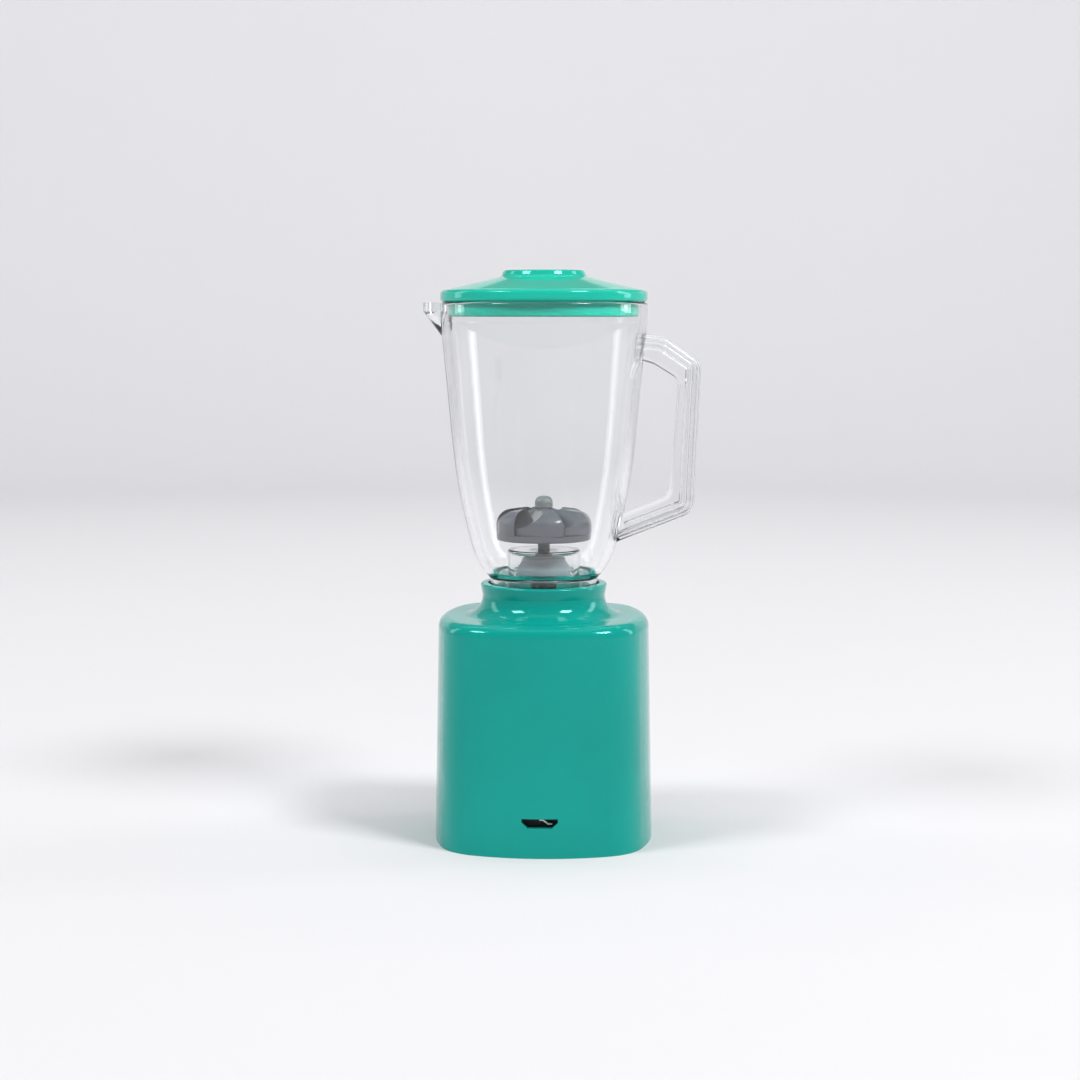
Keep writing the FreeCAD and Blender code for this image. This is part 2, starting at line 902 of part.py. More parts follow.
def make_battery_door():
    """Cover of the battery opening, with a locating rib and a screw cup in its tongue."""
    bottom = plate_bottom
    top = bottom + door_thickness
    door = door_outline(0, bottom, top)
    rib = box_outline(-door_clearance, top - overlap, top + door_rib_height - door_clearance)
    rib = rib.cut(box_outline(-door_clearance - door_rib_thickness, 0, roof_bottom))
    cup = post(door_cup_radius, bottom, top + door_cup_height, 0, door_screw_y)
    door = joined(door, [rib, cup])
    door = door.cut(post(screw_radius + screw_hole_clearance, 0, roof_bottom, 0, door_screw_y))
    head_room = bottom + screw_sink + screw_head_height + running_clearance
    door = door.cut(post(screw_head_radius + screw_head_clearance, 0, head_room, 0, door_screw_y))
    half = door_grip_half_width
    grip_rear = box_rear - box_wall - door_grip_from_edge
    return door.cut(block(-half, half, grip_rear - door_grip_width, grip_rear, 0, bottom + door_grip_depth))


def make_door_contact():
    """Nickel link on the door's inner face: a coil under one cell, a dimple under the other."""
    bottom = plate_bottom + door_thickness
    half_width = contact_width / 2
    sheet = rounded_box(
        -bay_middle_x - half_width,
        bay_middle_x + half_width,
        bay_middle_y - half_width,
        bay_middle_y + half_width,
        bottom,
        bottom + contact_thickness,
        contact_corner_radius,
    )
    dimple = Part.makeCone(
        contact_dimple_radius,
        contact_dimple_radius / 2,
        contact_dimple_height,
        Vector(-bay_middle_x, bay_middle_y, bottom + contact_thickness),
    )
    spring = coil(
        bottom + contact_thickness + coil_wire_radius / 2,
        coil_height,
        coil_base_radius,
        coil_tip_radius,
        bay_middle_x,
        bay_middle_y,
    )
    return joined(sheet, [dimple, spring])


def make_door_screw():
    """Captive screw of the battery door."""
    return screw(0, door_screw_y, plate_bottom + screw_sink, screw_length)


def flat_sided(radius, half_depth, bottom, top):
    """Round bar with two flats, the shape of the motor."""
    flats = block(-radius - past, radius + past, -half_depth, half_depth, bottom, top)
    return post(radius, bottom, top).common(flats)


def make_motor_can():
    """Drawn steel can, closed at the top, with a bearing boss."""
    body = flat_sided(can_radius, can_half_depth, can_bottom, motor_top)
    body = body.makeFillet(can_round, edges_at_height(body, motor_top))
    body = joined(body, [post(motor_boss_radius, motor_top - overlap, motor_top + motor_boss_height)])
    inside_radius = can_radius - can_wall
    body = body.cut(flat_sided(inside_radius, can_half_depth - can_wall, can_bottom, motor_top - can_wall))
    return body.cut(post(bearing_radius, can_bottom, motor_top + motor_boss_height + past))


def make_motor_end_cap():
    """Nylon cap that closes the can and holds the lower bearing and the brushes."""
    rim = flat_sided(can_radius, can_half_depth, motor_bottom, can_bottom)
    inset = 2 * can_wall
    recess = flat_sided(can_radius - inset, can_half_depth - inset, end_cap_floor_top, can_bottom)
    boss = post(motor_boss_radius, motor_bottom - end_cap_boss_height, end_cap_floor_top)
    body = joined(rim.cut(recess), [boss]).cut(post(bearing_radius, 0, can_bottom))
    half_thickness = brush_tag_thickness / 2 + brush_tag_clearance
    half_width = brush_width / 2 + brush_tag_clearance
    for side in (-1, 1):
        x = side * brush_tag_x
        slot = block(x - half_thickness, x + half_thickness, -half_width, half_width, 0, can_bottom)
        body = body.cut(slot)
    return body


def make_motor_bearings():
    """Sintered bushes in the can's boss and in the end cap."""
    bore = shaft_radius + shaft_fit
    upper = tube(bearing_radius, bore, motor_top - can_wall, motor_top + motor_boss_height)
    lower = tube(bearing_radius, bore, motor_bottom - end_cap_boss_height, end_cap_floor_top)
    return Part.makeCompound([upper, lower])


def make_motor_magnets():
    """Two arc magnets against the round sides of the can."""
    bottom = armature_bottom - magnet_overhang
    top = armature_top + magnet_overhang
    ring = tube(can_radius - can_wall, armature_radius + magnet_gap, bottom, top)
    half = can_half_depth - can_wall - magnet_edge_gap
    magnet = ring.common(block(0, can_radius, -half, half, bottom, top))
    return Part.makeCompound([magnet, mirrored(magnet)])


def make_motor_brushes():
    """Two leaf brushes beside the commutator, each with a tag through the end cap."""
    inner = commutator_radius + brush_gap
    outer = brush_tag_x + brush_tag_thickness / 2
    half = brush_width / 2
    low = end_cap_floor_top + brush_leaf_thickness
    high = low + brush_leaf_thickness
    leaf = block(inner, inner + brush_leaf_thickness, -half, half, low, commutator_top - overlap)
    foot = block(inner, outer, -half, half, low, high)
    tag = block(outer - brush_tag_thickness, outer, -half, half, motor_bottom - brush_tag_reach, high)
    brush = joined(leaf, [foot, tag])
    return Part.makeCompound([brush, mirrored(brush)])


def make_motor_bracket():
    """Strap under the motor with two ears that are screwed up to the housing."""
    inner = can_radius + bracket_gap
    outer = inner + bracket_thickness
    depth = bracket_half_depth
    floor_bottom = motor_bottom - bracket_thickness
    floor = block(-outer, outer, -depth, depth, floor_bottom, motor_bottom)
    leg = block(inner, outer, -depth, depth, floor_bottom, bracket_ear_top)
    ear = rounded_box(
        inner,
        bracket_post_x + bracket_post_radius,
        -bracket_post_radius,
        bracket_post_radius,
        bracket_ear_top - bracket_thickness,
        bracket_ear_top,
        bracket_ear_corner_radius,
    )
    web_end = bracket_post_x - screw_head_radius - 2 * screw_head_clearance
    half_web = bracket_web_thickness / 2
    web = block(inner, web_end, -half_web, half_web, bracket_ear_top - bracket_web_height, bracket_ear_top)
    ear = joined(ear, [web]).cut(post(screw_radius + screw_hole_clearance, 0, base_height, bracket_post_x))
    body = joined(floor, [leg, ear, mirrored(leg), mirrored(ear)])
    body = body.cut(post(motor_boss_radius + bracket_gap, 0, base_height))
    half_width = bracket_tag_slot_width / 2
    half_depth = bracket_tag_slot_depth / 2
    for side in (-1, 1):
        x = side * brush_tag_x
        body = body.cut(block(x - half_width, x + half_width, -half_depth, half_depth, 0, base_height))
    return body


def make_bracket_screws():
    """Two screws from below through the bracket's ears."""
    head = bracket_ear_top - bracket_thickness - screw_head_height
    length = bracket_screw_length + screw_head_height
    return Part.makeCompound([screw(side * bracket_post_x, 0, head, length) for side in (-1, 1)])


def make_motor_shaft():
    """Steel shaft through both bearings, the armature and the drive dog."""
    return post(shaft_radius, motor_bottom - shaft_tail, motor_shaft_top)


def make_armature_core():
    """Three-pole laminated core."""
    core = post(armature_hub_radius, armature_bottom, armature_top)
    ring = tube(armature_radius, armature_radius - pole_shoe_thickness, armature_bottom, armature_top)
    half = pole_width / 2
    half_shoe = pole_shoe_width / 2
    for pole in range(3):
        arm = block(0, armature_radius - overlap, -half, half, armature_bottom, armature_top)
        shoe_room = block(half, armature_radius, -half_shoe, half_shoe, armature_bottom, armature_top)
        shoe = ring.common(shoe_room)
        for piece in (arm, shoe):
            piece.rotate(Vector(0, 0, 0), Vector(0, 0, 1), 120 * pole)
            core = core.fuse(piece)
    return core.removeSplitter().cut(post(shaft_radius, 0, base_height))


def make_armature_windings():
    """Copper coil round each pole, standing out above and below the core."""
    coils = []
    half = pole_width / 2
    for pole in range(3):
        winding = rounded_box(
            winding_inner,
            winding_outer,
            -winding_half_width,
            winding_half_width,
            armature_bottom - winding_overhang,
            armature_top + winding_overhang,
            winding_corner_radius,
        )
        winding = winding.cut(block(0, armature_radius, -half, half, armature_bottom, armature_top))
        winding.rotate(Vector(0, 0, 0), Vector(0, 0, 1), 120 * pole)
        coils.append(winding)
    return Part.makeCompound(coils)


def make_commutator():
    """Copper barrel with three slots, on an insulating sleeve round the shaft."""
    body = tube(commutator_radius, shaft_radius, commutator_bottom, commutator_top)
    slit_floor = commutator_radius - commutator_slit_depth
    half = commutator_slit_width / 2
    for pole in range(3):
        slit = block(slit_floor, commutator_radius + past, -half, half, commutator_bottom, commutator_top)
        slit.rotate(Vector(0, 0, 0), Vector(0, 0, 1), 60 + 120 * pole)
        body = body.cut(slit)
    return joined(body, [tube(commutator_sleeve_radius, shaft_radius, commutator_top, armature_bottom)])


def cross_bar(grow, bottom, top):
    """Four-armed drive cross, grown by a margin."""
    reach = dog_arm_reach + grow
    half = dog_arm_width / 2 + grow
    long_way = block(-reach, reach, -half, half, bottom, top)
    other_way = block(-half, half, -reach, reach, bottom, top)
    return joined(long_way, [other_way]).common(post(reach, bottom, top))


def make_drive_dog():
    """Black nylon driver pressed on the motor shaft, with a cross-shaped tip."""
    body = post(dog_radius, dog_bottom, dog_shoulder)
    body = joined(body, [cross_bar(0, dog_shoulder, dog_tip)])
    return body.cut(post(shaft_radius, 0, motor_shaft_top))


def make_driven_coupling():
    """Dark bell on the blade shaft, with a cross-shaped socket for the drive dog."""
    body = turned((
        (0, hub_bottom, 0),
        (hub_skirt_radius, hub_bottom, hub_edge_round),
        (hub_skirt_radius, hub_top - hub_flare_drop, hub_round),
        (hub_waist_radius, hub_top - hub_waist_drop, hub_round),
        (hub_top_radius, hub_top, hub_edge_round),
        (0, hub_top, 0),
    ))
    body = body.cut(cross_bar(drive_play, hub_bottom - past, dog_tip + drive_play))
    return body.cut(post(blade_shaft_radius, dog_tip, hub_top + past))


def make_blade_shaft():
    """Steel pin from the coupling up into the blade's cap."""
    return post(blade_shaft_radius, dog_tip + drive_play, blade_crown_height + cap_bore_depth)


def lobed_prism():
    """Plan of the lobes as a prism: each lobe's side swells out to its crest and then steps back."""
    pitch = 2 * math.pi / blade_lobes
    step_share = (blade_radius - lobe_step) / blade_radius
    edges = []
    for lobe in range(blade_lobes):
        places = []
        for share in (0.0, 0.5, 1.0):
            angle = math.radians(lobe_angle) + (lobe + share) * pitch
            radius = blade_radius - lobe_step * (1 - share)
            places.append(Vector(-radius * math.sin(angle), radius * math.cos(angle), skirt_top))
        crest = places[-1]
        foot = Vector(crest.x * step_share, crest.y * step_share, crest.z)
        edges.append(Part.Arc(*places).toShape())
        edges.append(Part.LineSegment(crest, foot).toShape())
    return Part.Face(Part.Wire(edges)).extrude(Vector(0, 0, blade_crown_height))


def channel():
    """Cutter of one channel: an upright wall, a rounded root and a ramp, falling towards the rim."""
    rim_y = math.sqrt(blade_radius ** 2 - blade_crown_radius ** 2)
    fall = (channel_crown_floor - channel_rim_floor) / rim_y
    root = channel_crown_floor + overlap * fall
    reach = 2 * blade_radius
    ramp_top = root + channel_flat_rise + channel_ramp_slope * (reach - channel_flat_width)
    corners = (
        (blade_crown_radius, ramp_top, 0),
        (blade_crown_radius, root, channel_root_round),
        (blade_crown_radius - channel_flat_width, root + channel_flat_rise, channel_bend_round),
        (blade_crown_radius - reach, ramp_top, 0),
    )
    wire = rounded_outline(corners, lambda x, z: Vector(x, -overlap, z))
    run = blade_radius + past
    cutter = Part.Face(wire).extrude(Vector(0, run, -run * fall))
    turn = lobe_angle + math.degrees(math.atan2(blade_crown_radius, rim_y))
    cutter.rotate(Vector(0, 0, 0), Vector(0, 0, 1), turn)
    return cutter


def make_blade_impeller():
    """Blade head: a round skirt below six swept lobes, hollow underneath."""
    dome = turned((
        (0, skirt_top, 0),
        (blade_radius, skirt_top, 0),
        (blade_radius, blade_shoulder_height, blade_shoulder_round),
        (blade_crown_radius, blade_crown_height, 0),
        (0, blade_crown_height, 0),
    ))
    head = dome.common(lobed_prism())
    cutter = channel()
    for lobe in range(blade_lobes):
        cut = cutter.copy()
        cut.rotate(Vector(0, 0, 0), Vector(0, 0, 1), 360 / blade_lobes * lobe)
        head = head.cut(cut)
    skirt = turned((
        (0, blade_bottom, 0),
        (skirt_radius, blade_bottom, skirt_edge_round),
        (skirt_radius, skirt_top, 0),
        (0, skirt_top, 0),
    ))
    hollow = turned((
        (hollow_hub_radius, blade_bottom - past, 0),
        (skirt_radius - hollow_wall, blade_bottom - past, 0),
        (skirt_radius - hollow_wall, hollow_roof, hollow_round),
        (hollow_hub_radius, hollow_roof, hollow_round),
    ))
    return joined(head, [skirt]).cut(hollow).cut(post(blade_shaft_radius, 0, blade_crown_height))


def make_blade_cap():
    """Round cap on the end of the blade shaft."""
    cap = turned((
        (0, blade_crown_height, 0),
        (cap_radius, blade_crown_height, 0),
        (cap_radius, cap_top, cap_round),
        (0, cap_top, 0),
    ))
    return cap.cut(post(blade_shaft_radius, 0, blade_crown_height + cap_bore_depth))


def make_thrust_washer():
    """Steel washer between the driven coupling and the bush."""
    return tube(washer_radius, blade_shaft_radius, hub_top + stack_gap / 2, washer_top)


def make_shaft_bush():
    """Bush in the tower's roof that the blade shaft turns in."""
    sleeve = post(bush_radius, bush_flange_bottom, bush_top)
    flange = post(bush_flange_radius, bush_flange_bottom, bush_flange_top)
    return joined(sleeve, [flange]).cut(post(blade_shaft_radius + shaft_fit, 0, bush_top + past))


def make_shaft_seal():
    """Rubber washer between the bush's flange and the tower's roof."""
    return tube(seal_radius, bush_radius, bush_flange_top, tower_under)


def wall_arc(start, end, end_lean):
    """Centre and radius of the wall arc from start to end, whose end leans out by an angle."""
    normal = (math.cos(end_lean), -math.sin(end_lean))
    run = (end[0] - start[0], end[1] - start[1])
    radius = (run[0] ** 2 + run[1] ** 2) / (2 * (run[0] * normal[0] + run[1] * normal[1]))
    return (end[0] - radius * normal[0], end[1] - radius * normal[1]), radius


def moved_in(point, centre, radius, inset):
    """A point of an arc, moved towards the arc's centre by an inset."""
    share = (radius - inset) / radius
    return (centre[0] + (point[0] - centre[0]) * share, centre[1] + (point[1] - centre[1]) * share)


def arc_middle(start, end, centre, radius):
    """Middle point of the shorter arc between two points."""
    middle = ((start[0] + end[0]) / 2 - centre[0], (start[1] + end[1]) / 2 - centre[1])
    size = math.hypot(*middle)
    return (centre[0] + middle[0] * radius / size, centre[1] + middle[1] * radius / size)


def jar_side(inset, from_height=None):
    """Edges of the jar's side from its start up to the lip, set in by an inset, and their two ends."""
    start = (jar_start_radius, jar_start_height)
    belly = (jar_belly_radius, jar_belly_height)
    shoulder = (jar_shoulder_radius, jar_shoulder_height)
    top = (jar_wall_top_radius, jar_wall_top_height)
    wall_lean = math.atan2(top[0] - shoulder[0], top[1] - shoulder[1])
    upper_centre, upper_radius = wall_arc(belly, shoulder, wall_lean)
    belly_lean = math.atan2(upper_centre[1] - belly[1], belly[0] - upper_centre[0])
    lower_centre, lower_radius = wall_arc(start, belly, belly_lean)

    shoulder_in = moved_in(shoulder, upper_centre, upper_radius, inset)
    belly_in = moved_in(belly, upper_centre, upper_radius, inset)
    start_in = moved_in(start, lower_centre, lower_radius, inset)
    top_in = (top[0] - inset * math.cos(wall_lean), top[1] + inset * math.sin(wall_lean))
    if from_height is not None:
        rise = from_height - lower_centre[1]
        start_in = (lower_centre[0] + math.sqrt((lower_radius - inset) ** 2 - rise ** 2), from_height)
    lower_middle = arc_middle(start_in, belly_in, lower_centre, lower_radius - inset)
    upper_middle = arc_middle(belly_in, shoulder_in, upper_centre, upper_radius - inset)

    def place(point):
        return Vector(point[0], 0, point[1])

    edges = [
        Part.Arc(place(start_in), place(lower_middle), place(belly_in)).toShape(),
        Part.Arc(place(belly_in), place(upper_middle), place(shoulder_in)).toShape(),
        Part.LineSegment(place(shoulder_in), place(top_in)).toShape(),
    ]
    return edges, start_in, top_in


def revolved_edges(edges, corners):
    """Solid of revolution from curved edges, closed by straight lines through more corners."""
    first = edges[0].valueAt(edges[0].FirstParameter)
    last = edges[-1].valueAt(edges[-1].LastParameter)
    places = [last] + [Vector(r, 0, z) for r, z in corners] + [first]
    lines = []
    for here, after in zip(places, places[1:]):
        lines.append(Part.LineSegment(here, after).toShape())
    face = Part.Face(Part.Wire(list(edges) + lines))
    return face.revolve(Vector(0, 0, 0), Vector(0, 0, 1), 360)


def handle_prism(corners, half_thickness):
    """Prism of the handle's outline on the -X side."""
    wire = rounded_outline(corners, lambda reach, drop: Vector(-reach, half_thickness, jar_top - drop))
    return Part.Face(wire).extrude(Vector(0, -2 * half_thickness, 0))


def groove_rod(inset, y):
    """Round bar that runs along the handle, inside its outline, at a distance y from its middle plane."""
    outline = rounded_outline(handle_outer, lambda reach, drop: Vector(-reach, 0, jar_top - drop))
    track = outline.makeOffset2D(-inset)
    hidden_in_jar = max(track.Edges, key=lambda edge: edge.Length)
    path = Part.Wire(Part.__sortEdges__([e for e in track.Edges if not e.isSame(hidden_in_jar)]))
    path.translate(Vector(0, y, 0))
    first = path.OrderedEdges[0]
    start = first.valueAt(first.FirstParameter)
    circle = Part.makeCircle(handle_groove_radius, start, first.tangentAt(first.FirstParameter))
    return path.makePipeShell([Part.Wire(circle)], True, True)


def make_handle():
    """Handle loop with round edges and lengthwise grooves, before it joins the jar's wall."""
    half = handle_thickness / 2
    loop = handle_prism(handle_outer, half).cut(handle_prism(handle_window, half + past))
    outline = []
    for edge in loop.Edges:
        box = edge.BoundBox
        on_face = abs(abs(box.YMin) - half) < 0.01 and abs(box.YMax - box.YMin) < 0.01
        clear_of_jar = box.XMin < -jar_start_radius - 4 and edge.Length > 0.1
        if on_face and clear_of_jar and box.XMin < -jar_shoulder_radius:
            outline.append(edge)
    loop = loop.makeFillet(handle_edge_round, outline)
    groove_y = half + handle_groove_radius - handle_groove_depth
    for inset in handle_groove_insets:
        for side in (-1, 1):
            loop = loop.cut(groove_rod(inset, side * groove_y))
    return loop


def oblique_cone(top_radius, top_x, toe_radius, toe_x, bottom, top):
    """Slanted round horn between two level circles."""
    toe = Part.Wire(Part.makeCircle(toe_radius, Vector(toe_x, 0, bottom)))
    mouth = Part.Wire(Part.makeCircle(top_radius, Vector(top_x, 0, top)))
    return Part.makeLoft([toe, mouth], True, True)


def make_jar():
    """Clear jar in one moulding: foot, curved body, lip, spout, handle and the shaft tower."""
    edges, start, top = jar_side(0)
    body = revolved_edges(edges, (
        (lip_radius, top[1]),
        (lip_radius, jar_top),
        (0, jar_top),
        (0, foot_bottom),
        (foot_base_radius, foot_bottom),
        (foot_top_radius, start[1] - foot_step),
    ))
    body = body.makeFillet(lip_round, edges_at_height(body, jar_top))

    toe_x = jar_wall_top_radius - spout_wall
    spout_bottom = jar_top - spout_depth
    mouth_x = spout_reach - spout_radius
    spout_lip = jar_top - spout_lip_height
    spout = oblique_cone(spout_radius, mouth_x, spout_toe_radius, toe_x, spout_bottom, spout_lip)
    spout = joined(spout, [post(spout_radius, spout_lip, jar_top, mouth_x)])
    body = joined(body, [make_handle(), spout])

    inner, floor_edge, inner_top = jar_side(jar_wall, jar_floor_bottom + jar_floor_thickness)
    cavity = revolved_edges(inner, (
        (lip_inner_radius, inner_top[1]),
        (lip_inner_radius, jar_top + past),
        (0, jar_top + past),
        (0, jar_floor_bottom + jar_floor_thickness),
    ))
    cavity = cavity.makeFillet(floor_corner_round, edges_at_height(cavity, floor_edge[1]))
    tower = post(tower_radius, jar_floor_bottom, tower_top)
    tower = tower.makeFillet(tower_round, edges_at_height(tower, tower_top))
    lip_cut = oblique_cone(
        spout_radius - spout_wall,
        mouth_x,
        spout_toe_radius,
        toe_x - spout_wall,
        spout_bottom + spout_wall,
        spout_lip,
    )
    lip_cut = joined(lip_cut, [post(spout_radius - spout_wall, spout_lip, jar_top + past, mouth_x)])
    body = body.cut(cavity.cut(tower)).cut(lip_cut)

    foot_hollow = turned((
        (0, foot_bottom - past, 0),
        (foot_base_radius - foot_wall, foot_bottom - past, 0),
        (foot_base_radius - foot_wall, jar_floor_bottom, foot_hollow_round),
        (0, jar_floor_bottom, 0),
    ))
    body = body.cut(foot_hollow)
    body = body.cut(post(tower_radius - tower_wall, foot_bottom, tower_under))
    return body.cut(post(bush_radius, foot_bottom, tower_top + past))


def make_lid():
    """Lid with a rounded rim, a low cone, a raised centre and a plug skirt below."""
    dome_start = lid_rim_top + lid_dome_start_rise
    dome_top = lid_rim_top + lid_dome_rise
    raised_top = dome_top + lid_button_height
    land_radius = lid_button_radius - lid_button_land
    body = turned((
        (0, lid_bottom, 0),
        (lid_radius, lid_bottom, lid_rim_round),
        (lid_radius, lid_rim_top, lid_rim_round),
        (lid_dome_start_radius, dome_start, lid_dome_start_round),
        (lid_button_radius + lid_button_foot, dome_top, lid_dome_end_round),
        (lid_button_radius, raised_top, lid_button_round),
        (land_radius, raised_top, lid_button_dish_round),
        (land_radius - lid_button_dish_slope, raised_top - lid_button_dish, lid_button_dish_round),
        (0, raised_top - lid_button_dish, 0),
    ))
    plug_bottom = lid_bottom - plug_depth
    plug = post(lip_inner_radius - plug_clearance, plug_bottom, lid_bottom + overlap)
    plug = plug.makeFillet(plug_round, edges_at_height(plug, plug_bottom))
    inner = lip_inner_radius - plug_clearance - plug_wall
    hollow = turned((
        (0, plug_bottom - past, 0),
        (inner, plug_bottom - past, 0),
        (inner, dome_start - lid_wall, lid_hollow_round),
        (lid_button_radius - lid_hollow_round, dome_top - lid_wall, lid_hollow_round),
        (lid_button_radius - lid_wall, raised_top - lid_wall - lid_button_dish, lid_hollow_round),
        (0, raised_top - lid_wall - lid_button_dish, 0),
    ))
    return joined(body, [plug]).cut(hollow)


def make_key(middle_x, width):
    """Key cap that follows the curved front, with a flange behind the wall and a stem to the switch."""
    front = -2 * base_half_width
    cap = key_prism(middle_x, width, 0, -key_rear, front).common(front_cylinder(-key_proud))
    front_edges = [e for e in cap.Edges if e.BoundBox.YMax < -key_rear - past]
    cap = cap.makeFillet(key_edge_round, front_edges)
    behind = front_cylinder(housing_wall + key_flange_gap)
    deeper = front_cylinder(housing_wall + key_flange_gap + key_flange_thickness)
    flange = key_prism(middle_x, width, key_flange, 0, front).common(behind).cut(deeper)
    cap = cap.cut(deeper)
    stem_front = housing_wall - base_half_width
    stem = bar_along_y(key_stem_radius, plunger_tip, stem_front, middle_x, key_row_height)
    stem = stem.common(behind)
    return joined(cap, [flange, stem])


def make_plunger(middle_x):
    """Round plunger of one switch, which its key pushes in."""
    rear = switch_face + plunger_depth - plunger_gap
    return bar_along_y(plunger_radius, rear, plunger_tip, middle_x, key_row_height)


def make_switch_bodies():
    """Three square switches on the board, each with a hole for its plunger."""
    bodies = []
    for _, x, _ in key_columns():
        half = switch_size / 2
        body = block(
            x - half,
            x + half,
            switch_face,
            board_front,
            key_row_height - half,
            key_row_height + half,
        )
        hole = bar_along_y(
            plunger_radius + plunger_play,
            switch_face + plunger_depth + key_travel,
            switch_face - past,
            x,
            key_row_height,
        )
        bodies.append(body.cut(hole))
    return Part.makeCompound(bodies)


def make_switch_board():
    """Fibre board behind the keys, held at its ends between the housing's ribs."""
    return block(-board_half_width, board_half_width, board_front, board_rear, board_bottom, board_top)


def make_board_components():
    """Parts on the back of the board: a resin drop, two resistors, a capacitor and a transistor."""
    rear = board_rear
    behind = block(-board_half_width, board_half_width, rear, 0, board_bottom, board_top)
    centre = Vector(resin_drop_x, rear - resin_drop_sink, key_row_height)
    pieces = [Part.makeSphere(resin_drop_radius, centre).common(behind)]
    along_x = Vector(1, 0, 0)
    along_y = Vector(0, 1, 0)
    for z in resistor_heights:
        y = rear + resistor_stand_off
        start = Vector(resistor_x - resistor_length / 2, y, z)
        wire_start = Vector(resistor_x - resistor_span / 2, y, z)
        resistor = Part.makeCylinder(resistor_radius, resistor_length, start, along_x)
        wire = Part.makeCylinder(component_lead_radius, resistor_span, wire_start, along_x)
        legs = []
        for side in (-1, 1):
            x = resistor_x + side * (resistor_span / 2 - component_lead_radius)
            foot = Vector(x, rear, z)
            legs.append(Part.makeCylinder(component_lead_radius, resistor_stand_off, foot, along_y))
        pieces.append(joined(resistor, [wire] + legs))
    capacitor_place = Vector(capacitor_x, rear, capacitor_height)
    pieces.append(Part.makeCylinder(capacitor_radius, capacitor_length, capacitor_place, along_y))
    transistor_place = Vector(transistor_x, rear, transistor_height)
    transistor = Part.makeCylinder(transistor_radius, transistor_length, transistor_place, along_y)
    flat = block(0, transistor_x + transistor_flat, rear, 0, board_bottom, board_top)
    pieces.append(transistor.common(flat))
    return Part.makeCompound(pieces)


def lead(points, bend_radius):
    """Round lead along straight runs joined by tangent arcs."""
    places = [Vector(*p) for p in points]
    edges = []
    last = places[0]
    for before, here, after in zip(places, places[1:], places[2:]):
        back = before.sub(here)
        ahead = after.sub(here)
        back.normalize()
        ahead.normalize()
        half_angle = back.getAngle(ahead) / 2
        setback = bend_radius / math.tan(half_angle)
        start = here.add(Vector(back).multiply(setback))
        stop = here.add(Vector(ahead).multiply(setback))
        bisector = back.add(ahead)
        bisector.normalize()
        centre = here.add(Vector(bisector).multiply(bend_radius / math.sin(half_angle)))
        middle = centre.sub(Vector(bisector).multiply(bend_radius))
        edges.append(Part.LineSegment(last, start).toShape())
        edges.append(Part.Arc(start, middle, stop).toShape())
        last = stop
    edges.append(Part.LineSegment(last, places[-1]).toShape())
    heading = edges[0].tangentAt(edges[0].FirstParameter)
    ring = Part.Wire(Part.makeCircle(lead_radius, places[0], heading))
    return Part.Wire(edges).makePipeShell([ring], True, False)


def make_leads(side):
    """A cell's lead to the board and the motor's lead from the board, on one side of the base."""
    down_x = side * (box_half_width + box_wall + cell_lead_from_side)
    high_y = box_front - cell_lead_from_box
    low_y = board_rear + lead_radius + end_clearance
    high_z = contact_tail_top - cell_lead_tail
    cell_lead = lead(
        (
            (side * (bay_middle_x + contact_notch_radius), high_y, high_z),
            (down_x, high_y, high_z),
            (down_x, high_y, cell_lead_turn_height),
            (down_x, low_y, cell_lead_board_height),
            (down_x, low_y, cell_lead_end_height),
        ),
        cell_lead_bend,
    )
    tag_x = side * brush_tag_x
    low_z = motor_bottom - motor_lead_drop
    motor_lead = lead(
        (
            (tag_x, motor_lead_start_y, low_z),
            (tag_x, -motor_lead_reach, low_z),
            (tag_x, -motor_lead_reach, motor_lead_end_height),
            (tag_x, board_rear, motor_lead_end_height),
        ),
        motor_lead_bend,
    )
    return Part.makeCompound([cell_lead, motor_lead])


def make_rear_clip():
    """Small bent clip of bright strip that shows in the rear slot."""
    y = base_half_width_at(slot_bottom) - housing_wall - clip_depth
    middle_z = slot_bottom + slot_height / 2
    half_slope = clip_slope_run / 2
    offsets = (
        (clip_x + half_slope + clip_upper_run, clip_rise / 2),
        (clip_x + half_slope, clip_rise / 2),
        (clip_x - half_slope, -clip_rise / 2),
        (clip_x - half_slope - clip_lower_run, -clip_rise / 2),
    )
    strip = []
    for (x0, z0), (x1, z1) in zip(offsets, offsets[1:]):
        start = Vector(x0, y, middle_z + z0)
        run = Vector(x1 - x0, 0, z1 - z0)
        strip.append(Part.makeCylinder(clip_wire_radius, run.Length, start, run))
        strip.append(Part.makeSphere(clip_wire_radius, start.add(run)))
    return joined(strip[0], strip[1:])


export("housing_shell", make_housing_shell())
export("bottom_plate", make_bottom_plate())
export("bottom_screws", make_bottom_screws())
export("battery_box", make_battery_box())
export("contact_plate", make_contact_plate())
export("contact_spring", make_contact_spring())
export("battery_door", make_battery_door())
export("door_contact", make_door_contact())
export("door_screw", make_door_screw())
export("motor_can", make_motor_can())
export("motor_end_cap", make_motor_end_cap())
export("motor_bearings", make_motor_bearings())
export("motor_magnets", make_motor_magnets())
export("motor_brushes", make_motor_brushes())
export("motor_bracket", make_motor_bracket())
export("bracket_screws", make_bracket_screws())
export("motor_shaft", make_motor_shaft())
export("armature_core", make_armature_core())
export("armature_windings", make_armature_windings())
export("commutator", make_commutator())
export("drive_dog", make_drive_dog())
export("driven_coupling", make_driven_coupling())
export("blade_shaft", make_blade_shaft())
export("blade_impeller", make_blade_impeller())
export("blade_cap", make_blade_cap())
export("thrust_washer", make_thrust_washer())
export("shaft_bush", make_shaft_bush())
export("shaft_seal", make_shaft_seal())
export("jar", make_jar())
export("lid", make_lid())
for key_name, key_x, key_width in key_columns():
    export("key_" + key_name, make_key(key_x, key_width))
    export("plunger_" + key_name, make_plunger(key_x))
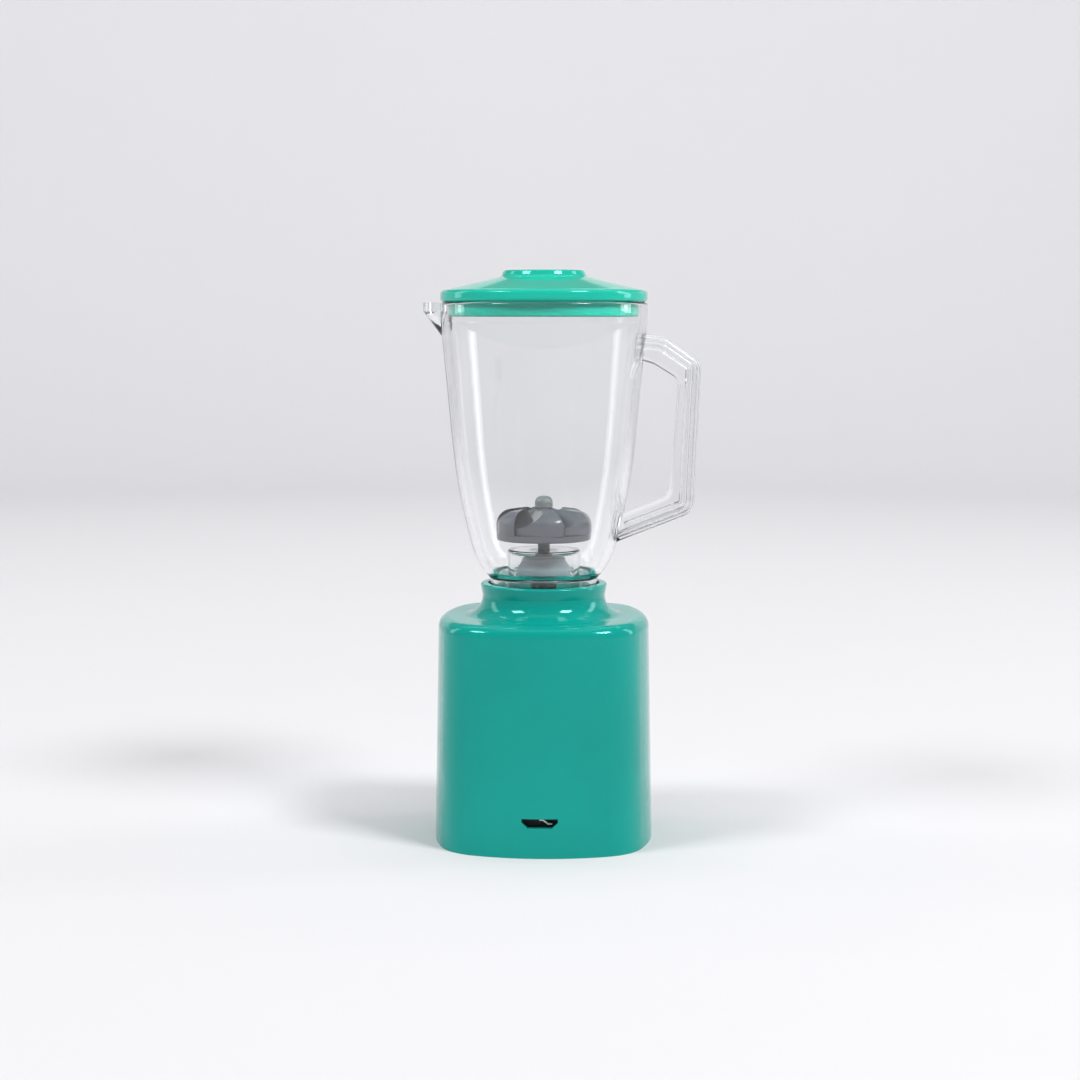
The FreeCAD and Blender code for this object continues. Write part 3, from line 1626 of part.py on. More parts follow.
export("switch_board", make_switch_board())
export("switch_bodies", make_switch_bodies())
export("board_components", make_board_components())
export("leads_red", make_leads(1))
export("leads_black", make_leads(-1))
export("rear_clip", make_rear_clip())
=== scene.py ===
"""Finishes, key marks and studio for a battery toy blender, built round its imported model."""

import math

import bpy
from bpy.props import FloatProperty, FloatVectorProperty, PointerProperty
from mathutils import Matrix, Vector
from mathutils.bvhtree import BVHTree


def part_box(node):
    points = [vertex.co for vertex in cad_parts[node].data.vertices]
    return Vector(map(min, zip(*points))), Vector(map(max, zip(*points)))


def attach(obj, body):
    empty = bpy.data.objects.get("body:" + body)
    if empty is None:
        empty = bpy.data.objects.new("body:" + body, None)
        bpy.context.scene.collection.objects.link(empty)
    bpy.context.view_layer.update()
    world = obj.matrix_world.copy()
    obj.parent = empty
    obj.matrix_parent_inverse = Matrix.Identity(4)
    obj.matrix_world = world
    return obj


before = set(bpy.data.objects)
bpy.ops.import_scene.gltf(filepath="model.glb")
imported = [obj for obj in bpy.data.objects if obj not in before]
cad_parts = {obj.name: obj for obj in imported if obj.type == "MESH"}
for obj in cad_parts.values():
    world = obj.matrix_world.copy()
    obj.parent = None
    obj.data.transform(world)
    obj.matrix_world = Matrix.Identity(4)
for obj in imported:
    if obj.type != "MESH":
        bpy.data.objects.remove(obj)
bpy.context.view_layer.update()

bl_info = {
    "name": "Toy Blender",
    "version": (1, 0, 0),
    "blender": (4, 5, 0),
    "location": "View3D > Sidebar > Toy Blender",
    "description": "Finishes, key marks and studio for a battery toy blender",
    "category": "Object",
}

MM = 0.001

# Colours of the pieces that a user has no need to change, the darker of a pair first
WHITE = (1.0, 1.0, 1.0)
NATURAL_NYLON = (0.66, 0.64, 0.56)
BLACK_NYLON = (0.014, 0.014, 0.016)
SWITCH_BLACK = (0.022, 0.022, 0.023)
LEAD_RED = (0.46, 0.018, 0.012)
LEAD_BLACK = (0.020, 0.020, 0.021)
SCREW_STEEL = (0.50, 0.50, 0.51)
CAN_STEEL = (0.56, 0.56, 0.57)
SHAFT_STEEL = (0.66, 0.66, 0.68)
NICKEL = (0.74, 0.72, 0.67)
CLIP_WIRE = (0.90, 0.90, 0.88)
TINNED_WIRE = (0.7, 0.7, 0.68)
FERRITE = ((0.028, 0.028, 0.031), (0.075, 0.074, 0.078))
BRONZE_PORE, BRONZE = (0.16, 0.09, 0.04), (0.50, 0.33, 0.16)
SHEET_SEAM, SHEET_STEEL = (0.10, 0.085, 0.075), (0.36, 0.36, 0.38)
# Painted shade: the winding's darker copper stands for shade in the gaps between round turns
WIRE_GAP_SHADE, ENAMELLED_WIRE = (0.22, 0.055, 0.018), (0.80, 0.30, 0.12)
WORN_COPPER, COPPER = (0.24, 0.11, 0.06), (0.80, 0.36, 0.18)
RUBBER, RUBBER_BLOOM = (0.018, 0.018, 0.019), (0.06, 0.058, 0.055)
BOARD_BROWN = ((0.26, 0.13, 0.035), (0.50, 0.30, 0.11))
RESIN_BLACK = ((0.008, 0.008, 0.009), (0.022, 0.022, 0.024))
RESISTOR_TAN = ((0.44, 0.30, 0.15), (0.56, 0.40, 0.22))
RESISTOR_BAND = (0.20, 0.045, 0.015)
CAPACITOR_BLUE = ((0.010, 0.022, 0.075), (0.016, 0.032, 0.10))

# Clear jar: its refraction, and the share of a lamp's light that each face holds back
CLEAR_PLASTIC_IOR = 1.49
JAR_LAMP_LOSS = 0.07

# Motor: thickness of a core sheet and of a wound turn, and the brushes' track round the
# commutator: its height, and how far above and below it the copper is worn and unworn
SHEET_THICKNESS = 0.35 * MM
WIRE_THICKNESS = 0.3 * MM
TRACK_HEIGHT = 23.6 * MM
TRACK_WORN = 0.7 * MM
TRACK_UNWORN = 1.1 * MM

# Parts on the switch board are one mesh, and these places tell them apart
RESISTOR_MIDDLE_X = -0.8 * MM
RESISTOR_HALF_LENGTH = 2.0 * MM
RESISTOR_FROM_Y = -10.2 * MM
BAND_START_X = -2.6 * MM
BAND_PITCH = 0.9 * MM
BAND_SHARE = 0.42
CAPACITOR_FROM_X = 8.0 * MM
CAPACITOR_FROM_Z = 15.0 * MM
BARE_WIRE_TO_Y = -10.6 * MM
BARE_WIRE_FROM_X = -9.0 * MM

# What is printed on each key: the end of the key's name, its body and the words
KEY_PRINT = (
    ("off", "button_off", "OFF"),
    ("low", "button_low", "1"),
    ("high", "button_high", "2"),
)
# Height of a capital letter as a share of the font's size
CAPITAL_SHARE = 0.7
# How far the letters' outline is moved outward, and the steps in each of its curves
BOLD = 0.06 * MM
LETTER_STEPS = 6
# Corners of a figure 1 with a flag, as shares of its height
FIGURE_ONE = (
    (0.0, 0.0),
    (0.2, 0.0),
    (0.2, 1.0),
    (0.06, 1.0),
    (-0.17, 0.84),
    (-0.08, 0.7),
    (0.0, 0.76),
)
# Where the search for a key's face starts, in front of the key's box
SEARCH_START = 5 * MM

# Floor: a flat disc with rings at these shares of its radius, a bend and a wall, in metres
FLOOR_RADIUS = 1.0
FLOOR_RINGS = (0.25, 0.6)
FLOOR_BEND = 0.4
FLOOR_RIM = 0.6
BEND_STEPS = 10
FLOOR_SIDES = 96

# Lamps: name, place, aim, width, height and power
OBJECT_MIDDLE = (0.0, 0.0, 0.06)
FLOOR_BEHIND = (0.0, -1.3, 0.25)
LAMPS = (
    ("key_left", (0.63, 0.41, 0.82), OBJECT_MIDDLE, 0.32, 0.22, 4.7),
    ("key_right", (-0.58, 0.48, 0.82), OBJECT_MIDDLE, 0.30, 0.22, 7.5),
    ("side_left", (0.85, -0.25, 0.40), OBJECT_MIDDLE, 0.20, 0.60, 1.0),
    ("side_right", (-0.85, -0.25, 0.40), OBJECT_MIDDLE, 0.20, 0.60, 1.6),
    ("top", (0.0, 0.05, 0.95), OBJECT_MIDDLE, 0.60, 0.60, 0.8),
    ("backdrop", (0.0, -0.45, 0.95), FLOOR_BEHIND, 1.20, 0.20, 6.0),
)
SKY_STRENGTH = 0.25

# Camera: sensor and lens in millimetres, and the nearest distance that it shows, in metres
SENSOR_WIDTH = 36.0
FOCAL_LENGTH = 72.0
NEAREST = 0.01

# Sockets of a Mix node that is set to colours
MIX_FACTOR, MIX_FIRST, MIX_SECOND, MIX_RESULT = 0, 6, 7, 2
# Rays that a material sends out to find the surfaces near it
NEARBY_RAYS = 8


def colour(name, red, green, blue, description):
    """Property that holds a colour."""
    return FloatVectorProperty(
        name=name,
        description=description,
        default=(red, green, blue),
        subtype="COLOR",
        min=0.0,
        max=1.0,
    )


class BlenderFinishes(bpy.types.PropertyGroup):
    """Colours and surface qualities that a user would change."""

    housing: colour("Base", 0.003, 0.300, 0.252, "Colour of the base moulding")
    lid: colour("Lid", 0.013, 0.480, 0.350, "Colour of the lid")
    jar: colour("Jar", 0.985, 0.992, 0.996, "Tint of the clear jar")
    blade: colour("Blade", 0.084, 0.090, 0.105, "Colour of the lobed blade")
    cap: colour("Blade cap", 0.110, 0.130, 0.128, "Colour of the cap over the blade")
    hub: colour("Drive hub", 0.170, 0.180, 0.200, "Colour of the driven coupling and bush")
    keys: colour("Keys", 0.800, 0.805, 0.790, "Colour of the three keys")
    marks: colour("Key marks", 0.035, 0.036, 0.040, "Colour of the print on the keys")
    chassis: colour("Chassis", 0.018, 0.018, 0.020, "Colour of the plate, battery box and door")
    glint: colour("Teal glint", 0.38, 1.0, 0.96, "Tint of reflections in the teal mouldings")
    gloss: FloatProperty(
        name="Gloss roughness",
        description="Roughness of the polished mouldings",
        default=0.09,
        min=0.02,
        max=1.0,
        subtype="FACTOR",
    )
    flow: FloatProperty(
        name="Flow marks",
        description="How much the colour drifts over a moulding",
        default=0.06,
        min=0.0,
        max=0.5,
        subtype="FACTOR",
    )


class BlenderKeyMarks(bpy.types.PropertyGroup):
    """Sizes of the print on the keys."""

    letter_height: FloatProperty(
        name="Letter height",
        description="Height of the letters and numbers on the keys",
        default=2.3 * MM,
        min=0.5 * MM,
        max=5 * MM,
        unit="LENGTH",
    )
    film: FloatProperty(
        name="Film thickness",
        description="How far the print stands proud of a key",
        default=0.03 * MM,
        min=0.005 * MM,
        max=0.5 * MM,
        unit="LENGTH",
    )


class BlenderStudio(bpy.types.PropertyGroup):
    """Camera, lights and floor."""

    distance: FloatProperty(
        name="Camera distance",
        description="From the camera to the point it looks at",
        default=0.485,
        min=0.1,
        max=5.0,
        unit="LENGTH",
    )
    azimuth: FloatProperty(
        name="Camera azimuth",
        description="Turn of the camera round the object; at zero it faces the keys",
        default=math.radians(182.19),
        subtype="ANGLE",
    )
    elevation: FloatProperty(
        name="Camera elevation",
        description="Height of the camera's line of sight above level",
        default=math.radians(5.85),
        subtype="ANGLE",
    )
    target: FloatVectorProperty(
        name="Camera target",
        description="Point that the camera looks at",
        default=(0.85 * MM, 0.0, 66.9 * MM),
        subtype="XYZ",
        unit="LENGTH",
    )
    floor: colour("Floor", 0.720, 0.715, 0.735, "Colour of the floor and its raised rim")
    light: FloatProperty(
        name="Light",
        description="Strength of all the lights together",
        default=1.0,
        min=0.0,
        max=10.0,
    )


class Shade:
    """Output of a shader node, used as a number that varies over a surface."""

    def __init__(self, socket):
        self.socket = socket

    def math(self, operation, other=0.0, swapped=False):
        values = dict(enumerate((other, self) if swapped else (self, other)))
        node = add_node(self.socket.id_data, "ShaderNodeMath", {"operation": operation}, values)
        return Shade(node.outputs[0])

    def __add__(self, other):
        return self.math("ADD", other)

    __radd__ = __add__

    def __sub__(self, other):
        return self.math("SUBTRACT", other)

    def __rsub__(self, other):
        return self.math("SUBTRACT", other, True)

    def __mul__(self, other):
        return self.math("MULTIPLY", other)

    __rmul__ = __mul__

    def __truediv__(self, other):
        return self.math("DIVIDE", other)

    def __rtruediv__(self, other):
        return self.math("DIVIDE", other, True)

    def __gt__(self, other):
        return self.math("GREATER_THAN", other)

    def __lt__(self, other):
        return self.math("LESS_THAN", other)

    def __abs__(self):
        return self.math("ABSOLUTE")

    def fraction(self):
        return self.math("FRACT")


def add_node(tree, kind, settings=None, values=None):
    """Adds a node: its settings first, then the values or links of its sockets."""
    node = tree.nodes.new(kind)
    for name, setting in (settings or {}).items():
        setattr(node, name, setting)
    for name, value in (values or {}).items():
        socket = node.inputs[name]
        if isinstance(value, Shade):
            tree.links.new(value.socket, socket)
        else:
            socket.default_value = value
    return node


class Finish:
    """One material: a principled surface and the nodes that vary it."""

    def __init__(self, name):
        self.material = bpy.data.materials.new(name)
        self.material.use_nodes = True
        self.tree = self.material.node_tree
        self.tree.nodes.clear()
        self.shader = add_node(self.tree, "ShaderNodeBsdfPrincipled")
        self.whole = Shade(self.shader.outputs["BSDF"])
        self.end = add_node(self.tree, "ShaderNodeOutputMaterial", values={"Surface": self.whole})
        self.place = self.node("ShaderNodeTexCoord", output="Object")

    def node(self, kind, settings=None, values=None, output=0):
        """Adds a node and gives one of its outputs."""
        return Shade(add_node(self.tree, kind, settings, values).outputs[output])

    def surface(self, **values):
        """Sets or links sockets of the principled surface, named with underscores for spaces."""
        for name, value in values.items():
            socket = self.shader.inputs[name.replace("_", " ")]
            if isinstance(value, Shade):
                self.tree.links.new(value.socket, socket)
            elif socket.type == "RGBA":
                socket.default_value = (*value, 1.0)
            else:
                socket.default_value = value
        return self.material

    def pass_lamps(self, tint):
        """Lets lamps shine through, tinted, instead of casting a full shadow."""
        shadow = self.node("ShaderNodeLightPath", output="Is Shadow Ray")
        clear = self.node("ShaderNodeBsdfTransparent", values={"Color": (*tint, 1.0)})
        mixed = self.node("ShaderNodeMixShader", values={0: shadow, 1: self.whole, 2: clear})
        self.tree.links.new(mixed.socket, self.end.inputs["Surface"])

    def stretched(self, along):
        """Place on the surface with each axis multiplied, for streaks."""
        values = {0: self.place, 1: along}
        return self.node("ShaderNodeVectorMath", {"operation": "MULTIPLY"}, values)

    def axes(self):
        """The place's three coordinates, in metres."""
        values = {0: self.place}
        return [self.node("ShaderNodeSeparateXYZ", values=values, output=i) for i in range(3)]

    def noise(self, size, detail=2.0, along=None):
        """Soft noise from 0 to 1, whose blots are about this many millimetres across."""
        place = self.stretched(along) if along else self.place
        values = {"Vector": place, "Scale": 1 / (size * MM), "Detail": detail}
        return self.node("ShaderNodeTexNoise", values=values)

    def cells(self, size):
        """Distance to the nearest of random points that lie this many millimetres apart."""
        values = {"Vector": self.place, "Scale": 1 / (size * MM)}
        return self.node("ShaderNodeTexVoronoi", values=values)

    def spread(self, value, low, high, start=0.3, end=0.7):
        """Maps a value that runs from start to end to one from low to high, and clamps it."""
        values = {
            "Value": value,
            "From Min": start,
            "From Max": end,
            "To Min": low,
            "To Max": high,
        }
        return self.node("ShaderNodeMapRange", {"clamp": True}, values)

    def tone(self, factor, first, second):
        """Colour between two colours."""
        values = {MIX_FACTOR: factor}
        for socket, value in ((MIX_FIRST, first), (MIX_SECOND, second)):
            values[socket] = value if isinstance(value, Shade) else (*value, 1.0)
        return self.node("ShaderNodeMix", {"data_type": "RGBA"}, values, output=MIX_RESULT)

    def openness(self, reach):
        """How much of the sky the surface sees past its own lobes within so many millimetres, used
        to paint shade into hollows.
        """
        return self.node(
            "ShaderNodeAmbientOcclusion",
            {"only_local": True, "samples": NEARBY_RAYS},
            {"Distance": reach * MM},
            output="AO",
        )

    def soft_edges(self, radius):
        """Surface normal with its sharp edges rounded by this many millimetres."""
        return self.node("ShaderNodeBevel", {"samples": NEARBY_RAYS}, {"Radius": radius * MM})

    def relief(self, height, depth, below=None):
        """Surface normal raised by a height from 0 to 1, where 1 is this many millimetres."""
        values = {"Height": height, "Distance": depth * MM}
        if below is not None:
            values["Normal"] = below
        return self.node("ShaderNodeBump", values=values)


def shaded(tint, amount):
    """The same colour, lighter or darker by a share."""
    return tuple(min(1.0, part * (1 + amount)) for part in tint)


def dress(material, *names):
    """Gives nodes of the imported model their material."""
    for name in names:
        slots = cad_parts[name].data.materials
        slots.clear()
        slots.append(material)


def gloss_moulding(name, tint, roughness, drift, peel=0.012, glint=WHITE):
    """Polished moulded plastic: slow colour drift, faint haze, orange peel and a fine grain."""
    finish = Finish(name)
    flow = finish.noise(26.0, detail=3.0)
    haze = finish.noise(7.0, detail=4.0)
    grain = finish.noise(0.35, detail=1.0)
    skin = finish.noise(2.4, detail=1.0)
    drifted = finish.spread(flow, 0, 1)
    hazed = haze + grain * 0.25
    return finish.surface(
        Base_Color=finish.tone(drifted, shaded(tint, -drift), shaded(tint, drift)),
        Roughness=finish.spread(hazed, roughness * 0.8, roughness * 1.3, start=0.35, end=0.85),
        Normal=finish.relief(grain, 0.0008, below=finish.relief(skin, peel)),
        Specular_Tint=glint,
    )


def matt_moulding(name, tint, roughness=0.55, grain_size=0.22):
    """Moulded plastic with the fine eroded grain of a matt mould, paler where it is rubbed."""
    finish = Finish(name)
    grain = finish.noise(grain_size)
    scuff = finish.noise(5.0, detail=5.0)
    rubbed = finish.spread(scuff, 0, 1, start=0.58, end=0.75)
    pale = tuple(part * 1.5 + 0.01 for part in tint)
    dulled = grain + rubbed * 0.3
    return finish.surface(
        Base_Color=finish.tone(rubbed * 0.6 + grain * 0.3, tint, pale),
        Roughness=finish.spread(dulled, roughness * 0.85, roughness * 1.2, start=0.3, end=0.9),
        Normal=finish.relief(grain, 0.02),
    )


def turned_metal(name, tint, roughness, along, streak, grain=0.002):
    """Metal with fine tool or rolling streaks, which cross the axis that is stretched most."""
    finish = Finish(name)
    lines = finish.noise(streak, detail=3.0, along=along)
    cloud = finish.noise(3.0)
    worked = finish.spread(lines * 0.6 + cloud * 0.4, 0, 1)
    return finish.surface(
        Base_Color=finish.tone(worked, shaded(tint, -0.12), shaded(tint, 0.08)),
        Metallic=1.0,
        Roughness=finish.spread(lines, roughness * 0.7, roughness * 1.4),
        Normal=finish.relief(lines, grain),
    )


def teal_moulding(name, tint, look):
    """Gloss moulding whose reflections are tinted teal."""
    return gloss_moulding(name, tint, look.gloss, look.flow, glint=tuple(look.glint))


class TOYBLENDER_OT_base(bpy.types.Operator):
    """Finish of the base moulding"""

    bl_idname = "toyblender.base"
    bl_label = "Base moulding"

    def execute(self, context):
        look = context.scene.toy_blender_finishes
        dress(teal_moulding("teal_housing", look.housing, look), "housing_shell")
        return {"FINISHED"}


class TOYBLENDER_OT_lid(bpy.types.Operator):
    """Finish of the lid"""

    bl_idname = "toyblender.lid"
    bl_label = "Lid"

    def execute(self, context):
        look = context.scene.toy_blender_finishes
        dress(teal_moulding("teal_lid", look.lid, look), "lid")
        return {"FINISHED"}


class TOYBLENDER_OT_jar(bpy.types.Operator):
    """Clear finish of the jar, with faint smears and the slow ripple of a moulded wall"""

    bl_idname = "toyblender.jar"
    bl_label = "Clear jar"

    def execute(self, context):
        look = context.scene.toy_blender_finishes
        jar = Finish("clear_jar")
        ripple = jar.noise(14.0, detail=1.0, along=(1.0, 1.0, 0.35))
        smear = jar.noise(9.0, detail=4.0, along=(1.0, 1.0, 0.5))
        jar.pass_lamps(shaded(look.jar, -JAR_LAMP_LOSS))
        dress(
            jar.surface(
                Base_Color=jar.tone(smear, shaded(look.jar, -0.02), tuple(look.jar)),
                Roughness=jar.spread(smear, 0.0, 0.035, start=0.5, end=0.75),
                IOR=CLEAR_PLASTIC_IOR,
                Transmission_Weight=1.0,
                Normal=jar.relief(ripple, 0.05),
            ),
            "jar",
        )
        return {"FINISHED"}


class TOYBLENDER_OT_blade(bpy.types.Operator):
    """Finishes of the lobed blade, with painted shade darkening its channels, and of the cap over
    it
    """

    bl_idname = "toyblender.blade"
    bl_label = "Blade and cap"

    def execute(self, context):
        look = context.scene.toy_blender_finishes
        blade = Finish("charcoal_blade")
        open_sky = blade.openness(4)
        flow = blade.noise(9.0)
        skin = blade.noise(2.4, detail=1.0)
        # Painted shade: where its own lobes hide the sky, in the channels and hollows, the blade's
        # colour falls to a tenth; flow noise adds random tone
        depth = blade.spread(open_sky + flow * 0.1, 0, 1, start=0.74, end=1.06)
        dress(
            blade.surface(
                Base_Color=blade.tone(depth, shaded(look.blade, -0.9), tuple(look.blade)),
                Roughness=blade.spread(flow, 0.10, 0.18),
                Normal=blade.relief(skin, 0.02, below=blade.soft_edges(0.3)),
            ),
            "blade_impeller",
        )
        cap = gloss_moulding("grey_cap", look.cap, roughness=0.34, drift=0.10, peel=0.02)
        dress(cap, "blade_cap")
        return {"FINISHED"}


class TOYBLENDER_OT_keys(bpy.types.Operator):
    """Finish of the three keys"""

    bl_idname = "toyblender.keys"
    bl_label = "Keys"

    def execute(self, context):
        look = context.scene.toy_blender_finishes
        white = gloss_moulding("white_keys", look.keys, roughness=0.24, drift=0.02)
        dress(white, "key_off", "key_low", "key_high")
        return {"FINISHED"}


def letter_outline(words, marks):
    """Text as a filled outline, slightly bold."""
    font = bpy.data.curves.new("letters", "FONT")
    font.body = words
    font.size = marks.letter_height / CAPITAL_SHARE
    font.offset = BOLD
    font.resolution_u = LETTER_STEPS
    return font


def one_outline(marks):
    """Figure 1 with a flag, as a filled outline."""
    curve = bpy.data.curves.new("figure_one", "CURVE")
    curve.dimensions = "2D"
    curve.fill_mode = "BOTH"
    stroke = curve.splines.new("POLY")
    stroke.points.add(len(FIGURE_ONE) - 1)
    for point, (x, y) in zip(stroke.points, FIGURE_ONE):
        point.co = (x * marks.letter_height, y * marks.letter_height, 0.0, 1.0)
    stroke.use_cyclic_u = True
    return curve


def outline_mesh(context, name, outline):
    """Mesh of an outline, flat in X and Y and twice its extrusion thick."""
    drawn = bpy.data.objects.new(name, outline)
    context.scene.collection.objects.link(drawn)
    evaluated = drawn.evaluated_get(context.evaluated_depsgraph_get())
    mesh = bpy.data.meshes.new_from_object(evaluated)
    bpy.data.objects.remove(drawn)
    return mesh


def lay_on_key(context, mesh, key, film):
    """Lays a flat mesh over the middle of a key's front face, half in front and half behind."""
    low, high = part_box("key_" + key)
    face = BVHTree.FromObject(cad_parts["key_" + key], context.evaluated_depsgraph_get())
    across = [corner.co.x for corner in mesh.vertices]
    upward = [corner.co.y for corner in mesh.vertices]
    middle_x = (max(across) + min(across)) / 2
    middle_y = (max(upward) + min(upward)) / 2
    for corner in mesh.vertices:
        x = (low.x + high.x) / 2 + corner.co.x - middle_x
        z = (low.z + high.z) / 2 + corner.co.y - middle_y
        hit = face.ray_cast(Vector((x, low.y - SEARCH_START, z)), Vector((0, 1, 0)))[0]
        if hit is None:
            raise RuntimeError("the print runs off key_" + key)
        corner.co = Vector((x, hit.y - math.copysign(film, corner.co.z), z))


class TOYBLENDER_OT_key_marks(bpy.types.Operator):
    """Print on the keys, laid over their curved faces"""

    bl_idname = "toyblender.key_marks"
    bl_label = "Key marks"

    def execute(self, context):
        marks = context.scene.toy_blender_marks
        look = context.scene.toy_blender_finishes
        ink = matt_moulding("key_print", look.marks, roughness=0.45, grain_size=0.1)
        for key, body, words in KEY_PRINT:
            outline = one_outline(marks) if words == "1" else letter_outline(words, marks)
            outline.extrude = marks.film
            mesh = outline_mesh(context, "mark_" + key, outline)
            lay_on_key(context, mesh, key, marks.film)
            mesh.materials.clear()
            mesh.materials.append(ink)
            piece = bpy.data.objects.new("print_" + key, mesh)
            context.scene.collection.objects.link(piece)
            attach(piece, body)
        return {"FINISHED"}


class TOYBLENDER_OT_plungers(bpy.types.Operator):
    """Finish of the key plungers and the motor's end cap"""

    bl_idname = "toyblender.plungers"
    bl_label = "Plungers and end cap"

    def execute(self, context):
        nylon = matt_moulding("natural_nylon", NATURAL_NYLON, roughness=0.42, grain_size=0.4)
        dress(nylon, "plunger_off", "plunger_low", "plunger_high", "motor_end_cap")
        return {"FINISHED"}


class TOYBLENDER_OT_chassis(bpy.types.Operator):
    """Finish of the bottom plate, battery box, door and motor bracket"""

    bl_idname = "toyblender.chassis"
    bl_label = "Chassis"

    def execute(self, context):
        look = context.scene.toy_blender_finishes
        black = matt_moulding("black_chassis", tuple(look.chassis))
        dress(black, "bottom_plate", "battery_box", "battery_door", "motor_bracket")
        return {"FINISHED"}


class TOYBLENDER_OT_screws(bpy.types.Operator):
    """Finish of all the screws"""

    bl_idname = "toyblender.screws"
    bl_label = "Screws"

    def execute(self, context):
        steel = turned_metal(
            "screw_steel", SCREW_STEEL, roughness=0.3, along=(6.0, 6.0, 6.0), streak=0.9
        )
        dress(steel, "bottom_screws", "bracket_screws", "door_screw")
        return {"FINISHED"}


class TOYBLENDER_OT_contacts(bpy.types.Operator):
    """Finishes of the battery contacts and of the bent wire in the rear slot"""

    bl_idname = "toyblender.contacts"
    bl_label = "Contacts"

    def execute(self, context):
        nickel = turned_metal(
            "nickel_contact", NICKEL, roughness=0.18, along=(9.0, 1.0, 1.0), streak=0.8, grain=0.001
        )
        dress(nickel, "contact_plate", "contact_spring", "door_contact")
        wire = turned_metal(
            "bright_clip", CLIP_WIRE, roughness=0.34, along=(1.0, 6.0, 1.0), streak=0.4, grain=0.001
        )
        dress(wire, "rear_clip")
        return {"FINISHED"}


class TOYBLENDER_OT_motor(bpy.types.Operator):
    """Finishes of the motor's can, magnets and bearings"""

    bl_idname = "toyblender.motor"
    bl_label = "Motor"

    def execute(self, context):
        steel = turned_metal(
            "motor_steel", CAN_STEEL, roughness=0.34, along=(1.0, 1.0, 9.0), streak=1.1
        )
        dress(steel, "motor_can")

        magnet = Finish("magnet_ferrite")
        grit = magnet.noise(0.18, detail=3.0)
        chip = magnet.cells(0.9)
        dress(
            magnet.surface(
                Base_Color=magnet.tone(grit, *FERRITE),
                Roughness=magnet.spread(grit, 0.5, 0.75),
                Normal=magnet.relief(grit + chip * 0.3, 0.03),
            ),
            "motor_magnets",
        )

        bronze = Finish("sintered_bronze")
        pore = bronze.cells(0.16)
        stain = bronze.noise(1.4)
        pitted = bronze.spread(pore, 1, 0, start=0.1, end=0.4)
        dress(
            bronze.surface(
                Base_Color=bronze.tone(pitted, BRONZE, BRONZE_PORE),
                Metallic=1.0,
                Roughness=bronze.spread(stain, 0.3, 0.5),
                Normal=bronze.relief(pore, 0.02),
            ),
            "motor_bearings",
        )
        return {"FINISHED"}


class TOYBLENDER_OT_rotor(bpy.types.Operator):
    """Finishes of the motor's core, windings, commutator and brushes, and of the shafts"""

    bl_idname = "toyblender.rotor"
    bl_label = "Rotor and shafts"

    def execute(self, context):
        core = Finish("lamination_steel")
        height = core.axes()[2]
        sheet = (height / SHEET_THICKNESS).fraction()
        seam = core.spread(abs(sheet - 0.5), 0, 1, start=0.38, end=0.5)
        tarnish = core.noise(0.8, detail=3.0)
        dress(
            core.surface(
                Base_Color=core.tone(seam * 0.7 + tarnish * 0.3, SHEET_STEEL, SHEET_SEAM),
                Metallic=1.0,
                Roughness=core.spread(tarnish, 0.35, 0.55),
                Normal=core.relief(1 - seam, 0.04),
            ),
            "armature_core",
        )

        wire = Finish("enamelled_copper")
        height = wire.axes()[2]
        turn = (height / WIRE_THICKNESS).fraction()
        round_turn = 1 - abs(turn * 2 - 1)
        lacquer = wire.noise(0.7)
        # Painted shade and highlight: each turn is lighter along its middle and darker towards the
        # gaps, as light falls on round wire; lacquer noise adds random tone
        turn_shade_and_lacquer = round_turn * 0.7 + lacquer * 0.3
        dress(
            wire.surface(
                Base_Color=wire.tone(turn_shade_and_lacquer, WIRE_GAP_SHADE, ENAMELLED_WIRE),
                Metallic=1.0,
                Roughness=wire.spread(lacquer, 0.2, 0.34),
                Coat_Weight=0.6,
                Coat_Roughness=0.12,
                Normal=wire.relief(round_turn, 0.1),
            ),
            "armature_windings",
        )

        copper = Finish("turned_copper")
        height = copper.axes()[2]
        rings = copper.noise(0.25, along=(0.6, 0.6, 6.0))
        from_track = abs(height - TRACK_HEIGHT)
        track = copper.spread(from_track, 1, 0, start=TRACK_WORN, end=TRACK_UNWORN)
        dress(
            copper.surface(
                Base_Color=copper.tone(track * 0.7, COPPER, WORN_COPPER),
                Metallic=1.0,
                Roughness=copper.spread(rings, 0.16, 0.4),
                Normal=copper.relief(rings, 0.006),
            ),
            "commutator", "motor_brushes",
        )

        steel = turned_metal(
            "bright_steel",
            SHAFT_STEEL,
            roughness=0.16,
            along=(1.0, 1.0, 18.0),
            streak=0.9,
            grain=0.001,
        )
        dress(steel, "motor_shaft", "blade_shaft", "thrust_washer")
        return {"FINISHED"}


class TOYBLENDER_OT_drive(bpy.types.Operator):
    """Finishes of the drive dog, driven coupling, bush and seal"""

    bl_idname = "toyblender.drive"
    bl_label = "Drive"

    def execute(self, context):
        look = context.scene.toy_blender_finishes
        nylon = gloss_moulding("black_nylon", BLACK_NYLON, roughness=0.38, drift=0.15, peel=0.02)
        dress(nylon, "drive_dog")
        hub = gloss_moulding("dark_hub", tuple(look.hub), roughness=0.42, drift=0.10, peel=0.02)
        dress(hub, "driven_coupling", "shaft_bush")

        seal = Finish("seal_rubber")
        bloom = seal.noise(1.2, detail=4.0)
        grain = seal.noise(0.12)
        bloomed = seal.spread(bloom, 0, 1, start=0.5, end=0.8)
        dress(
            seal.surface(
                Base_Color=seal.tone(bloomed, RUBBER, RUBBER_BLOOM),
                Roughness=seal.spread(grain, 0.6, 0.85),
                Normal=seal.relief(grain, 0.01),
            ),
            "shaft_seal",
        )
        return {"FINISHED"}


